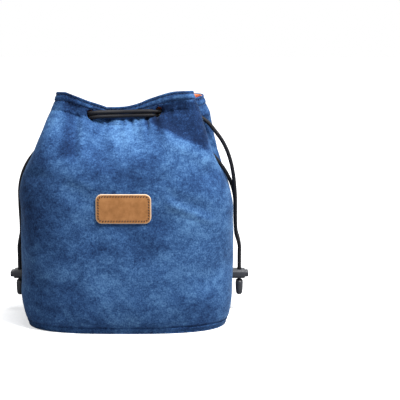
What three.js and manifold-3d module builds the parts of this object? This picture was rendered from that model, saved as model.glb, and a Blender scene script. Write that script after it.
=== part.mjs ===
// Padded drawstring lens pouch of suede-like cloth: outer panels, foam padding and plush lining in nested
// layers, a folded neck that two cords draw shut, a leather patch, and a cord lock and cord end on each side.
// Millimetres, +Z up. The front faces -Y, and the origin is the middle of the base, on the ground.

import * as THREE from 'three';
import { mergeVertices } from 'three/addons/utils/BufferGeometryUtils.js';
import Module from 'manifold-3d';

const wasm = await Module();
wasm.setup();

// Body of the pouch, over the outer cloth
const bodyHalfWidth = 106;
const bodyHalfDepth = 62;
const baseDrawWidth = 6.5;
const baseDrawDepth = 4;
const baseHalfWidth = bodyHalfWidth - baseDrawWidth;
const baseHalfDepth = bodyHalfDepth - baseDrawDepth;
const baseRoundHeight = 36;
const shoulderHeight = 118;
const outlinePowerShare = 2.9;

// Neck, where the sides fold inwards between a front and a back lobe
const neckHalfDepth = 18;
const lobeRadius = 10;
const valleyRadius = 5;
const seamReach = 35;
const frontLobeReach = 72;
const backRightLobeReach = 82.5;
const backLeftLobeReach = 71;

// Rim of the mouth, by its height over the ground
const rimCornerHeight = 233;
const rimDipHeight = 218;
const rimDipOffset = 13;
const rimDipHalfWidth = 5;
const rightRimSeamHeight = 224;
const leftRimSeamHeight = 218.5;
const backRimDipHeight = 208;
const backRightRimCornerHeight = 227;
const backLeftRimCornerHeight = 221;

// Slack cloth on the front: a hollow on the right over a slanting fold, and a crease on the left
const hollowDepth = 3.6;
const hollowStart = 30;
const hollowEnd = 76;
const hollowStartEase = 12;
const hollowEndEase = 30;
const foldStart = 39;
const foldStartHeight = 198.5;
const foldEase = 12;
const foldLead = 4;
const creaseDepth = 2.4;
const creaseReach = 48;
const creaseHalfWidth = 9;
const creaseFoot = 165;
const creaseFootEase = 15;

// Cloth layers, from outside in, and the gap between touching pieces
const panelThickness = 1.2;
const paddingThickness = 5;
const liningThickness = 1;
const basePanelThickness = 1.5;
const seat = 0.3;

// Cords, the casing that holds them and the slits where they come out on the front and the back
const cordDiameter = 4;
const cordSpacing = 4.4;
const casingDrop = 12.5;
const casingHalfHeight = 5.5;
const hemHeight = 4;
const leftSlitReach = 41;
const rightSlitReach = 31;
const backSlitReach = 36;
const slitWidth = 10;
const slitRoom = 1.1;
const slitCornerRadius = 3;
const crossingLength = 8;
const exitStub = 3;
const cutOverrun = 4;

// Leather patch
const patchWidth = 53;
const patchHeight = 28.5;
const patchThickness = 1.6;
const patchFootHeight = 111.4;
const patchCornerRadius = 6.1;

// Cord lock, with its plunger pressing along X against a helical spring
const lockWidth = 15.6;
const lockHeight = 9.4;
const lockWall = 1.3;
const lockMouthReach = 6;
const lockCornerRadius = 3.6;
const lockEdgeRound = 0.8;
const lockDrop = 2.5;
const plungerReach = 9.4;
const plungerTravel = 1.8;
const plungerWall = 1.3;
const springDiameter = 5.4;
const springWire = 0.6;
const springPitch = 1.1;
const springCurls = 4;

// Cord end, a closed cup that holds both cords and their knot
const cordEndHeight = 15.4;
const cordEndWidth = 12.6;
const cordEndDepth = 8;
const cordEndFloor = 3.6;
const knotHeight = 4.4;

// Shares that shape the outlines
const bodyStationShares = [0, 0.09, 0.18, 0.27, 0.37, 0.46, 0.55, 0.61, 0.675, 0.735, 0.795, 0.925, 0.963, 1];
const faceStationShares = [0, 0.17, 0.34, 0.5, 0.68, 0.84, 1];
const foldRimShares = [0, 0.05, 0.2, 0.45, 0.78, 1, 1, 1];
const lobeTurnShares = [0.5, 1, 1.5, 2];
const valleyTurnShares = [0, 0.5, 1];
const exitTurnShares = [0, 0.5, 1, 1.5, 2];
const swellStartShare = 0.3;
const swellEndShare = 0.68;
const neckRiseShares = [0.28, 0.52, 0.77];
const upperWallShares = [0.4, 0.75];
const faceGatherPowerShare = 3.7;
const leftLobeGatherPowerShare = 2.6;
const rightLobeGatherPowerShare = 1.85;
const foldFallShare = 0.5;
const rimDrawShare = 0.079;
const rimFlareShare = 0.04;
const cornerLimitShare = 0.98;
const ovalPowerShare = 0.8;
const strandStepShare = 2.5;
const mergeShare = 1e-5;
const quarterTurn = Math.PI / 2;
const halfTurn = Math.PI;

// Layer depths, measured inwards from the outside of the cloth
const paddingDepth = panelThickness + seat;
const liningDepth = paddingDepth + paddingThickness + seat;
const hemLiningDepth = panelThickness + seat;
const cordDepth = panelThickness + seat + cordDiameter / 2;
const wallFoot = basePanelThickness + seat;
const liningFoot = wallFoot + paddingThickness + seat;

const mix = (a, b, share) => a + (b - a) * share;
const clamp = (value) => Math.min(1, Math.max(0, value));
const ease = (value) => value * value * (3 - 2 * value);

const blue = { color: 0x35598f, roughness: 0.95, metalness: 0 };
const orange = { color: 0xd9704a, roughness: 0.95, metalness: 0 };
const foam = { color: 0xd8d6cc, roughness: 0.9, metalness: 0 };
const tan = { color: 0xb27a4c, roughness: 0.65, metalness: 0 };
const black = { color: 0x2b2b2e, roughness: 0.85, metalness: 0 };
const charcoal = { color: 0x3a3a3d, roughness: 0.45, metalness: 0 };
const steel = { color: 0xb9bcc0, roughness: 0.35, metalness: 1 };

function piece(name, geometry, finish) {
  const mesh = new THREE.Mesh(geometry, new THREE.MeshStandardMaterial(finish));
  mesh.name = name;
  return mesh;
}

// Booleans

function toSolid(geometry) {
  const bare = geometry.clone();
  bare.deleteAttribute('normal');
  bare.deleteAttribute('uv');
  const merged = mergeVertices(bare, mergeShare);
  return new wasm.Manifold(new wasm.Mesh({
    numProp: 3,
    vertProperties: new Float32Array(merged.attributes.position.array),
    triVerts: new Uint32Array(merged.index.array),
  }));
}

function cutFrom(geometry, cutters) {
  let solid = toSolid(geometry);
  for (const cutter of cutters) {
    solid = solid.subtract(toSolid(cutter));
  }
  const mesh = solid.getMesh();
  const result = new THREE.BufferGeometry();
  result.setAttribute('position', new THREE.BufferAttribute(mesh.vertProperties, 3));
  result.setIndex(new THREE.BufferAttribute(mesh.triVerts, 1));
  return result;
}

// A closed solid between two grids of points with equal rows and columns. The first grid faces outwards.
function gridSolid(outer, inner) {
  const rows = outer.length;
  const columns = outer[0].length;
  const positions = [];
  const triangles = [];
  for (const grid of [outer, inner]) {
    for (const row of grid) {
      for (const point of row) positions.push(point.x, point.y, point.z);
    }
  }
  const place = (layer, row, column) => (layer * rows + row) * columns + column;
  const quad = (...corners) => {
    const [a, b, c, d] = corners.map(([at, row, column]) => place(at, row, column));
    triangles.push(a, b, c, a, c, d);
  };
  const [head, side] = [rows - 1, columns - 1];
  for (let r = 0; r < head; r += 1) {
    for (let c = 0; c < side; c += 1) {
      quad([0, r, c], [0, r, c + 1], [0, r + 1, c + 1], [0, r + 1, c]);
      quad([1, r, c], [1, r + 1, c], [1, r + 1, c + 1], [1, r, c + 1]);
    }
    quad([0, r, 0], [0, r + 1, 0], [1, r + 1, 0], [1, r, 0]);
    quad([0, r, side], [1, r, side], [1, r + 1, side], [0, r + 1, side]);
  }
  for (let c = 0; c < side; c += 1) {
    quad([0, 0, c], [1, 0, c], [1, 0, c + 1], [0, 0, c + 1]);
    quad([0, head, c], [0, head, c + 1], [1, head, c + 1], [1, head, c]);
  }
  const geometry = new THREE.BufferGeometry();
  geometry.setAttribute('position', new THREE.Float32BufferAttribute(positions, 3));
  geometry.setIndex(triangles);
  geometry.computeVertexNormals();
  return geometry;
}

// A closed solid through rings of equal point counts, capped at both ends by its first and last ring
function ringSolid(rings) {
  const around = rings[0].length;
  const positions = rings.flat().flatMap((point) => [point.x, point.y, point.z]);
  const triangles = [];
  for (let ring = 0; ring < rings.length - 1; ring += 1) {
    for (let step = 0; step < around; step += 1) {
      const a = ring * around + step;
      const b = ring * around + ((step + 1) % around);
      triangles.push(a, b, b + around, a, b + around, a + around);
    }
  }
  const top = (rings.length - 1) * around;
  for (let step = 1; step < around - 1; step += 1) {
    triangles.push(0, step + 1, step);
    triangles.push(top, top + step, top + step + 1);
  }
  const geometry = new THREE.BufferGeometry();
  geometry.setAttribute('position', new THREE.Float32BufferAttribute(positions, 3));
  geometry.setIndex(triangles);
  geometry.computeVertexNormals();
  return geometry;
}

// Outlines in plan. A quadrant holds one corner of the pouch: its stations run from the middle of the
// front or back face, round the lobe, to the side seam.

// Full outline of the body in one quadrant, spaced by its length
function bodyQuadrant(halfWidth, halfDepth) {
  const samples = 120;
  const points = [];
  const lengths = [0];
  for (let i = 0; i <= samples; i += 1) {
    const angle = (i / samples) * quarterTurn;
    const x = halfWidth * Math.sin(angle) ** (2 / outlinePowerShare);
    const y = halfDepth * Math.max(0, Math.cos(angle)) ** (2 / outlinePowerShare);
    points.push([x, i === samples ? 0 : y]);
    if (i > 0) lengths.push(lengths[i - 1] + Math.hypot(x - points[i - 1][0], y - points[i - 1][1]));
  }
  return bodyStationShares.map((share) => {
    const target = share * lengths[samples];
    const found = lengths.findIndex((length) => length >= target);
    const next = Math.max(1, found < 0 ? samples : found);
    const part = (target - lengths[next - 1]) / (lengths[next] - lengths[next - 1]);
    return [mix(points[next - 1][0], points[next][0], part), mix(points[next - 1][1], points[next][1], part)];
  });
}

// Outline of the neck in one quadrant: a flat face, the round lobe, the arm of the fold and its valley
function neckQuadrant(reach) {
  const faceEnd = reach - lobeRadius;
  const lobeFront = valleyRadius + 2 * lobeRadius;
  const face = faceStationShares.map((share) => {
    const swell = ease(clamp((share - swellStartShare) / (swellEndShare - swellStartShare)));
    return [share * faceEnd, mix(neckHalfDepth, lobeFront, swell)];
  });
  const lobe = lobeTurnShares.map((turn) => {
    const angle = turn * quarterTurn;
    const middle = valleyRadius + lobeRadius;
    return [faceEnd + lobeRadius * Math.sin(angle), middle + lobeRadius * Math.cos(angle)];
  });
  const valley = valleyTurnShares.map((turn) => {
    const angle = turn * quarterTurn;
    return [seamReach + valleyRadius * (1 - Math.sin(angle)), valleyRadius * Math.cos(angle)];
  });
  return [...face, ...lobe, ...valley];
}

function lobeReach(side, face) {
  if (face < 0) return frontLobeReach;
  return side > 0 ? backRightLobeReach : backLeftLobeReach;
}

const seamRim = (side) => (side > 0 ? rightRimSeamHeight : leftRimSeamHeight);

// Height of the rim over each station of a quadrant
function rimQuadrant(side, face, neck) {
  const lastFace = faceStationShares.length - 1;
  const dip = face < 0 ? rimDipHeight : backRimDipHeight;
  const backCorner = side > 0 ? backRightRimCornerHeight : backLeftRimCornerHeight;
  const corner = face < 0 ? rimCornerHeight : backCorner;
  const dipOffset = face < 0 ? rimDipOffset : 0;
  return neck.map(([x], station) => {
    if (station > lastFace) return mix(corner, seamRim(side), foldRimShares[station - lastFace]);
    const beyond = side * x + dipOffset;
    const run = neck[lastFace][0] + Math.sign(beyond) * dipOffset - rimDipHalfWidth;
    return mix(dip, corner, clamp((Math.abs(beyond) - rimDipHalfWidth) / run));
  });
}

function makeQuadrant(side, face) {
  const neck = neckQuadrant(lobeReach(side, face));
  return { side, face, neck, rim: rimQuadrant(side, face, neck) };
}

const quadrants = {
  '-1': { '-1': makeQuadrant(-1, -1), 1: makeQuadrant(1, -1) },
  1: { '-1': makeQuadrant(-1, 1), 1: makeQuadrant(1, 1) },
};
const fullBody = bodyQuadrant(bodyHalfWidth, bodyHalfDepth);

const casingHeight = (rim) => rim - casingDrop;
const casingFoot = (rim) => casingHeight(rim) - casingHalfHeight;

// How far the slack front cloth falls in at one place
function slack(x, height, rim) {
  const fold = foldStartHeight - foldFallShare * (x - foldStart);
  const over = ease(clamp((height + foldLead - fold) / foldEase));
  const across = ease(clamp((x - hollowStart) / hollowStartEase)) * ease(clamp((hollowEnd - x) / hollowEndEase));
  const underCasing = clamp((casingHeight(rim) + casingHalfHeight - height) / (2 * casingHalfHeight));
  const beside = ease(clamp(1 - Math.abs(x + creaseReach) / creaseHalfWidth));
  const along = ease(clamp((height - creaseFoot) / creaseFootEase));
  return (hollowDepth * over * across + creaseDepth * beside * along) * underCasing;
}

// Plan point of the outside of the cloth at one station and height
function skinPoint(quadrant, station, height) {
  const rise = 1 - clamp(1 - height / baseRoundHeight) ** 2;
  const body = rise < 1
    ? bodyQuadrant(mix(baseHalfWidth, bodyHalfWidth, rise), mix(baseHalfDepth, bodyHalfDepth, rise))[station]
    : fullBody[station];
  const rim = quadrant.rim[station];
  const foot = casingFoot(rim);
  const facing = clamp(station / (faceStationShares.length - 1));
  const lobePower = quadrant.side > 0 ? rightLobeGatherPowerShare : leftLobeGatherPowerShare;
  const power = mix(faceGatherPowerShare, lobePower, ease(facing));
  const gathered = clamp((height - shoulderHeight) / (foot - shoulderHeight)) ** power;
  const drawn = clamp((height - foot) / (rim - foot));
  const [neckX, neckY] = quadrant.neck[station];
  const x = mix(body[0], neckX * (1 - rimDrawShare * drawn), gathered);
  const y = mix(body[1], neckY * (1 + rimFlareShare * drawn), gathered);
  const onFront = quadrant.face < 0 && station < faceStationShares.length;
  const fallen = onFront ? slack(quadrant.side * x, height, rim) : 0;
  const atSeam = station === fullBody.length - 1;
  return new THREE.Vector3(quadrant.side * x, quadrant.face * (atSeam ? seat / 2 : y - fallen), height);
}

// Stations of one panel from seam to seam, so that the row turns anticlockwise seen from above
function panelStations(face) {
  const last = fullBody.length - 1;
  const start = quadrants[face][face];
  const end = quadrants[face][-face];
  const stations = [];
  for (let station = last; station >= 0; station -= 1) stations.push([start, station]);
  for (let station = 1; station <= last; station += 1) stations.push([end, station]);
  return stations;
}

// One row of a panel with the inward vector that moves each point one millimetre into the wall, in plan
function panelRow(face, heightOf) {
  const points = panelStations(face).map(([quadrant, station]) => (
    skinPoint(quadrant, station, heightOf(quadrant.rim[station]))));
  const normals = points.slice(1).map((point, i) => {
    const along = point.clone().sub(points[i]).setZ(0).normalize();
    return new THREE.Vector3(-along.y, along.x, 0);
  });
  return points.map((point, i) => {
    const before = normals[i - 1];
    const after = normals[i];
    if (!before || !after) {
      return { point, inward: new THREE.Vector3(-Math.sign(point.x), 0, 0) };
    }
    const inward = before.clone().add(after).normalize();
    return { point, inward: inward.multiplyScalar(1 / inward.dot(after)) };
  });
}

const inset = ({ point, inward }, depth) => point.clone().addScaledVector(inward, depth);

// Rows of a wall from its foot to the rim
const baseRows = [wallFoot, liningFoot, baseRoundHeight / 2, baseRoundHeight, shoulderHeight];
function rowHeights(rim) {
  const foot = casingFoot(rim);
  const seamFoot = casingFoot(leftRimSeamHeight);
  const lower = neckRiseShares.map((share) => mix(shoulderHeight, seamFoot - casingHalfHeight, share));
  const highest = lower[lower.length - 1];
  const upper = upperWallShares.map((share) => mix(highest, foot, share));
  return [...baseRows, ...lower, ...upper, foot, casingHeight(rim) + casingHalfHeight, rim - hemHeight, rim];
}

const rowCount = rowHeights(rimCornerHeight).length;
const casingFootRow = rowCount - 4;
const casingHeadRow = rowCount - 3;
const liningFootRow = 1;

function panelGrid(face) {
  const rows = [];
  for (let row = 0; row < rowCount; row += 1) rows.push(panelRow(face, (rim) => rowHeights(rim)[row]));
  return rows;
}

function layer(grid, firstRow, lastRow, outerDepth, thickness) {
  const rows = grid.slice(firstRow, lastRow + 1);
  const at = (extra) => rows.map((row, i) => {
    const depth = outerDepth(firstRow + i) + extra;
    return row.map((entry) => inset(entry, depth));
  });
  return gridSolid(at(0), at(thickness));
}

const frontGrid = panelGrid(-1);
const backGrid = panelGrid(1);

// Slits and seam openings, through which the cords leave the casing

// Finds the place of a width on the face of a panel, with its inward vector
function placeOnRow(row, x) {
  const middle = (row.length - 1) / 2;
  const step = Math.sign(row[row.length - 1].point.x) * Math.sign(x) || 1;
  for (let i = middle; row[i + step]; i += step) {
    const [a, b] = [row[i], row[i + step]];
    if ((a.point.x - x) * (b.point.x - x) <= 0) {
      const share = (x - a.point.x) / (b.point.x - a.point.x);
      return { point: a.point.clone().lerp(b.point, share), inward: a.inward.clone().lerp(b.inward, share) };
    }
  }
  return null;
}

function roundedRectangle(width, height, radius) {
  const [x, y] = [width / 2, height / 2];
  const r = Math.min(radius, cornerLimitShare * x, cornerLimitShare * y);
  const shape = new THREE.Shape();
  shape.moveTo(-x + r, -y);
  shape.lineTo(x - r, -y);
  shape.absarc(x - r, -y + r, r, -quarterTurn, 0, false);
  shape.lineTo(x, y - r);
  shape.absarc(x - r, y - r, r, 0, quarterTurn, false);
  shape.lineTo(-x + r, y);
  shape.absarc(-x + r, y - r, r, quarterTurn, halfTurn, false);
  shape.lineTo(-x, -y + r);
  shape.absarc(-x + r, -y + r, r, halfTurn, halfTurn + quarterTurn, false);
  return shape;
}

const casingRows = { '-1': panelRow(-1, casingHeight), 1: panelRow(1, casingHeight) };
const slitHeight = cordSpacing + cordDiameter + 2 * slitRoom;

function slitCutter(face, x) {
  const middle = placeOnRow(casingRows[face], x).point;
  const depth = 2 * (panelThickness + cutOverrun);
  const shape = roundedRectangle(slitWidth, slitHeight, slitCornerRadius);
  const cutter = new THREE.ExtrudeGeometry(shape, { depth, bevelEnabled: false, curveSegments: 3 });
  cutter.translate(0, 0, -depth / 2);
  cutter.rotateX(quarterTurn);
  return cutter.translate(x, middle.y, middle.z);
}

// The seam stays open at the bottom of the valley, as high as the pair of ends that comes out there
const exitTurnMiddle = seamReach + valleyRadius + seat;
const exitReach = exitTurnMiddle + exitStub;

function exitCutter(side, height) {
  const near = seamReach - cutOverrun;
  const far = exitTurnMiddle + seat;
  const cutter = new THREE.BoxGeometry(far - near, 2 * (valleyRadius + cutOverrun), cordDiameter + 2 * seat);
  return cutter.translate(side * (near + far) / 2, 0, height);
}

const seamCasing = (side) => casingHeight(seamRim(side));
const leftCordRise = cordSpacing / 2;
const rightCordRise = -cordSpacing / 2;

function outerPanel(grid, face) {
  const slits = face < 0 ? [-leftSlitReach, rightSlitReach] : [-backSlitReach, backSlitReach];
  const cloth = layer(grid, 0, rowCount - 1, () => 0, panelThickness);
  return cutFrom(cloth, [
    ...slits.map((x) => slitCutter(face, x)),
    exitCutter(-1, seamCasing(-1) + leftCordRise),
    exitCutter(1, seamCasing(1) + rightCordRise),
  ]);
}

const wallPadding = (grid) => layer(grid, liningFootRow, casingFootRow, () => paddingDepth, paddingThickness);
const liningDepthAt = (row) => (row > casingHeadRow ? hemLiningDepth : liningDepth);
const wallLining = (grid) => layer(grid, liningFootRow, rowCount - 1, liningDepthAt, liningThickness);

// Base: the plate of cloth that stands on the ground, its foam and its lining

function basePlate(row, depth, foot, thickness) {
  const around = [...frontGrid[row].slice(0, -1), ...backGrid[row].slice(0, -1)];
  const outline = around.map((entry) => inset(entry, depth));
  const shape = new THREE.Shape(outline.map((point) => new THREE.Vector2(point.x, point.y)));
  return new THREE.ExtrudeGeometry(shape, { depth: thickness, bevelEnabled: false }).translate(0, 0, foot);
}

const basePanel = basePlate(0, 0, 0, basePanelThickness);
const basePadding = basePlate(0, paddingDepth, wallFoot, paddingThickness);
const baseLiningDepth = liningDepth + liningThickness + seat;
const baseLining = basePlate(liningFootRow, baseLiningDepth, liningFoot, liningThickness);

// Leather patch, laid on the front panel

function leatherPatch() {
  const cornerShares = [0, 0.12, 0.4, 1];
  const sideShares = [0.25, 0.5, 0.75];
  const columns = 6;
  const heights = [
    ...cornerShares.map((share) => [share * patchCornerRadius, share]),
    ...sideShares.map((share) => [mix(patchCornerRadius, patchHeight - patchCornerRadius, share), 1]),
    ...cornerShares.map((share) => [patchHeight - share * patchCornerRadius, share]).reverse(),
  ];
  const grid = (lift) => heights.map(([rise, share]) => {
    const height = patchFootHeight + rise;
    const row = panelRow(-1, () => height);
    const bevel = patchCornerRadius * (1 - Math.sqrt(1 - (1 - share) ** 2));
    const half = patchWidth / 2 - bevel;
    const points = [];
    for (let column = 0; column <= columns; column += 1) {
      const x = mix(-half, half, column / columns);
      points.push(placeOnRow(row, x).point.add(new THREE.Vector3(0, -lift, 0)));
    }
    return points;
  });
  return gridSolid(grid(seat + patchThickness), grid(seat));
}

// Cords

function roundSection(diameter, sides) {
  return new THREE.Shape(Array.from({ length: sides }, (_, i) => {
    const angle = (i / sides) * 2 * halfTurn;
    return new THREE.Vector2(Math.cos(angle), Math.sin(angle)).multiplyScalar(diameter / 2);
  }));
}

// A smooth route whose steps fall on its points, so that tight turns get more of them
class Route extends THREE.CatmullRomCurve3 {
  getPointAt(share, target) {
    return this.getPoint(share, target);
  }

  getTangentAt(share, target) {
    return this.getTangent(share, target);
  }
}

// End of a cord at its seam opening: out of the valley, round the edge of the cloth, into the arm's casing
function exitTurn(side, face, height) {
  const outerY = cordSpacing / 2;
  const casingY = valleyRadius + cordDepth;
  const middle = (outerY + casingY) / 2;
  const radius = (casingY - outerY) / 2;
  const turn = exitTurnShares.map((step) => {
    const angle = step * quarterTurn;
    return [exitTurnMiddle - radius * Math.sin(angle), middle - radius * Math.cos(angle)];
  });
  return [[exitReach, outerY], ...turn].map(([x, y]) => new THREE.Vector3(side * x, face * y, height));
}

// The run of a cord through one panel: round the first lobe, out at a slit, across, in again, round the other
function panelRun(face, rise) {
  const row = panelRow(face, (rim) => casingHeight(rim) + rise);
  const held = row.map((entry) => inset(entry, cordDepth));
  const slits = face < 0 ? [-leftSlitReach, rightSlitReach] : [backSlitReach, -backSlitReach];
  const crossing = (x) => {
    const reach = Math.sign(x) * crossingLength / 2;
    return {
      inside: inset(placeOnRow(row, x + reach), cordDepth),
      outside: inset(placeOnRow(row, x - reach), -seat - cordDiameter / 2),
    };
  };
  const [first, last] = slits.map(crossing);
  const beyond = (crossed) => (point) => Math.abs(point.x) > Math.abs(crossed.x) + panelThickness;
  const middle = (held.length - 1) / 2;
  const faceStart = middle - faceStationShares.length + 1;
  const faceEnd = middle + faceStationShares.length - 1;
  return [
    ...held.slice(1, faceStart),
    ...held.slice(faceStart, middle).filter(beyond(first.inside)),
    first.inside,
    first.outside,
    first.outside.clone().lerp(last.outside, 0.5),
    last.outside,
    last.inside,
    ...held.slice(middle + 1, faceEnd + 1).filter(beyond(last.inside)),
    ...held.slice(faceEnd + 1, -1),
  ];
}

// A drawcord leaves by the seam on its own side, and goes once round the mouth inside the casing
function heldCord(side, rise) {
  const height = seamCasing(side) + rise;
  const farRow = panelRow(side, (rim) => casingHeight(rim) + rise);
  const passedSeam = inset(farRow[farRow.length - 1], cordDepth).setY(0);
  const armStations = 2;
  const points = [
    ...exitTurn(side, side, height),
    ...panelRun(side, rise).slice(armStations),
    passedSeam,
    ...panelRun(-side, rise).slice(0, -armStations),
    ...exitTurn(side, -side, height).reverse(),
  ];
  const route = new Route(points, false, 'centripetal');
  const section = roundSection(cordDiameter, 6);
  return new THREE.ExtrudeGeometry(section, { steps: points.length - 1, extrudePath: route });
}

// Free strands, by their points from the seam opening down to the cord end. The front strand lies nearer
// the front, and the last six points hang plumb through the lock.
const rightFrontRoute = [
  [43.6, -2.2, 209.3], [47, -2.2, 209.3], [56, -2.2, 209.2], [65, -2.1, 208.4], [73, -2, 206],
  [81, -1.6, 200.4], [88, -0.8, 192], [94.8, 0.6, 182.5], [100.2, 2.4, 171.5], [104, 4.4, 159.5],
  [106.4, 6.6, 147], [107.8, 9, 134.5], [108.6, 11.5, 121.5], [108.8, 15.5, 108], [109.1, 20.5, 95],
  [110, 26.2, 83], [112.2, 31.6, 75], [113.7, 33.8, 68], [113.7, 33.8, 60], [113.7, 33.8, 50],
  [113.7, 33.8, 42], [113.7, 33.8, 34], [113.7, 33.8, 25.3],
];
const rightBackRoute = [
  [43.6, 2.2, 209.3], [46, 2.2, 209.3], [49.2, 2.2, 207.2], [51.8, 2.2, 202.4], [56, 2.2, 196],
  [61.8, 2.2, 190], [67.8, 2.2, 185], [73.4, 2.3, 180], [78.7, 2.6, 175], [83.6, 3, 170],
  [88, 3.6, 165], [92, 4.3, 160], [95.6, 6.2, 155], [98.7, 8, 150], [103.6, 11.2, 140],
  [106.8, 14.6, 130], [108.4, 17.6, 120], [108.7, 20.6, 109.4], [109, 24.7, 96.8],
  [110, 30.2, 85.2], [112.2, 35.7, 77], [113.7, 38.2, 68.7], [113.7, 38.2, 60], [113.7, 38.2, 50],
  [113.7, 38.2, 42], [113.7, 38.2, 34], [113.7, 38.2, 25.3],
];
const leftFrontRoute = [
  [-43.6, -2.2, 208.2], [-46, -2.2, 208.2], [-49.4, -2.2, 206], [-54, -2.2, 200.4],
  [-61.2, -2.1, 195], [-68.8, -1.9, 190], [-75.6, -1.6, 185], [-81.7, -1.3, 180],
  [-86.9, -0.8, 175], [-91.5, -0.2, 170], [-95.5, 0.6, 165], [-98.8, 1.5, 160], [-101.5, 2.6, 155],
  [-103.7, 3.9, 150], [-106.7, 6.3, 140], [-108.2, 8.9, 130], [-108.6, 11.7, 120],
  [-108.9, 15.2, 109.2], [-109.1, 20.4, 95], [-110.2, 26.1, 83], [-112.4, 31.6, 75],
  [-113.7, 33.8, 68], [-113.7, 33.8, 60], [-113.7, 33.8, 50], [-113.7, 33.8, 42],
  [-113.7, 33.8, 34], [-113.7, 33.8, 25.3],
];
const leftBackRoute = [
  [-43.6, 2.2, 208.2], [-46, 2.2, 208.2], [-49.4, 2.2, 206], [-54, 2.2, 200.4], [-61.2, 2.4, 195],
  [-68.8, 2.6, 190], [-75.6, 2.9, 185], [-81.7, 3.2, 180], [-86.9, 3.7, 175], [-91.5, 4.3, 170],
  [-95.5, 5.1, 165], [-98.8, 6, 160], [-101.5, 7.1, 155], [-103.7, 8.4, 150], [-106.7, 10.8, 140],
  [-108.2, 13.4, 130], [-108.6, 16.2, 120], [-108.8, 19.8, 109.4], [-109.1, 24.7, 96.8],
  [-110.2, 30.2, 85.2], [-112.4, 35.7, 77], [-113.7, 38.2, 68.7], [-113.7, 38.2, 60],
  [-113.7, 38.2, 50], [-113.7, 38.2, 42], [-113.7, 38.2, 34], [-113.7, 38.2, 25.3],
];

function freeStrand(route) {
  const points = route.map((point) => new THREE.Vector3(...point));
  const curve = new THREE.CatmullRomCurve3(points, false, 'centripetal');
  const steps = Math.round(curve.getLength() / (strandStepShare * cordDiameter));
  return new THREE.ExtrudeGeometry(roundSection(cordDiameter, 7), { steps, extrudePath: curve });
}

// Place of a pair of strands at a height, halfway between them
function pairPlace(front, back, height) {
  const [x, frontY] = front[front.length - 1];
  const backY = back[back.length - 1][1];
  return new THREE.Vector3(x, (frontY + backY) / 2, height);
}

// Cord lock. It is made with the cords passing along Z through its origin and its button facing +X.

const slotDepth = cordDiameter + 2 * seat;
const slotSpan = cordSpacing + cordDiameter + 2 * seat;
const plungerBack = slotDepth / 2 + plungerWall;
const springLength = springPitch * springCurls + springWire;
const springMiddle = plungerBack + seat + springLength / 2;
const cavityBack = plungerBack + 2 * seat + springLength;

// A bar along X with the given section, its edges rounded at both ends
function bar(shape, from, to, edge) {
  const depth = to - from - 2 * edge;
  const options = { depth, bevelEnabled: edge > 0, bevelSegments: 1, curveSegments: 3 };
  Object.assign(options, { bevelThickness: edge, bevelSize: edge, bevelOffset: -edge });
  const geometry = new THREE.ExtrudeGeometry(shape, options);
  const turn = new THREE.Matrix4().makeBasis(
    new THREE.Vector3(0, 1, 0),
    new THREE.Vector3(0, 0, 1),
    new THREE.Vector3(1, 0, 0),
  );
  return geometry.applyMatrix4(turn).translate(from + edge, 0, 0);
}

function slotCutter(from, to) {
  const height = lockHeight + 2 * cutOverrun;
  const shape = roundedRectangle(to - from, slotSpan, cordDiameter / 2);
  const cutter = new THREE.ExtrudeGeometry(shape, { depth: height, bevelEnabled: false, curveSegments: 3 });
  return cutter.translate((from + to) / 2, 0, -height / 2);
}

const cavityWidth = lockWidth - 2 * lockWall;
const cavityHeight = lockHeight - 2 * lockWall;
const cavityCornerRadius = lockCornerRadius - lockWall;

function lockBody() {
  const outside = roundedRectangle(lockWidth, lockHeight, lockCornerRadius);
  const shell = bar(outside, -cavityBack - lockWall, lockMouthReach, lockEdgeRound);
  const inside = roundedRectangle(cavityWidth, cavityHeight, cavityCornerRadius);
  const cavity = bar(inside, -cavityBack, lockMouthReach + cutOverrun, 0);
  return cutFrom(shell, [cavity, slotCutter(-slotDepth / 2, slotDepth / 2)]);
}

function lockPlunger() {
  const shape = roundedRectangle(cavityWidth - 2 * seat, cavityHeight - 2 * seat, cavityCornerRadius - seat);
  const button = bar(shape, -plungerBack, plungerReach, lockEdgeRound);
  return cutFrom(button, [slotCutter(-slotDepth / 2, slotDepth / 2 + plungerTravel)]);
}

class Helix extends THREE.Curve {
  getPoint(share, target = new THREE.Vector3()) {
    const angle = share * springCurls * 2 * halfTurn;
    const radius = (springDiameter - springWire) / 2;
    const x = springPitch * springCurls * (share - 1 / 2);
    return target.set(x, radius * Math.cos(angle), radius * Math.sin(angle));
  }
}

function lockSpring() {
  const steps = 8 * springCurls;
  const points = new Helix().getPoints(10 * steps);
  const half = points.length / springCurls / 2;
  let least = Infinity;
  points.forEach((a, i) => points.slice(i + Math.round(half)).forEach((b) => {
    least = Math.min(least, a.distanceTo(b));
  }));
  console.log(`least gap between spring curls: ${(least - springWire).toFixed(2)} mm`);
  return new THREE.ExtrudeGeometry(roundSection(springWire, 5), { steps, extrudePath: new Helix() });
}

// Cord end: a moulded cup, wide at its shoulder and rounded at its closed foot

const cordEndProfileShares = [
  [0, 0.34], [0.05, 0.64], [0.14, 0.84], [0.38, 0.95], [0.8, 1], [0.94, 0.97], [1, 0.88],
];

function ovalRing(halfWidth, halfDepth, height) {
  return Array.from({ length: 16 }, (_, i) => {
    const angle = (i / 16) * 2 * halfTurn;
    const x = halfDepth * Math.sign(Math.cos(angle)) * Math.abs(Math.cos(angle)) ** ovalPowerShare;
    const y = halfWidth * Math.sign(Math.sin(angle)) * Math.abs(Math.sin(angle)) ** ovalPowerShare;
    return new THREE.Vector3(x, y, height);
  });
}

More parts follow.
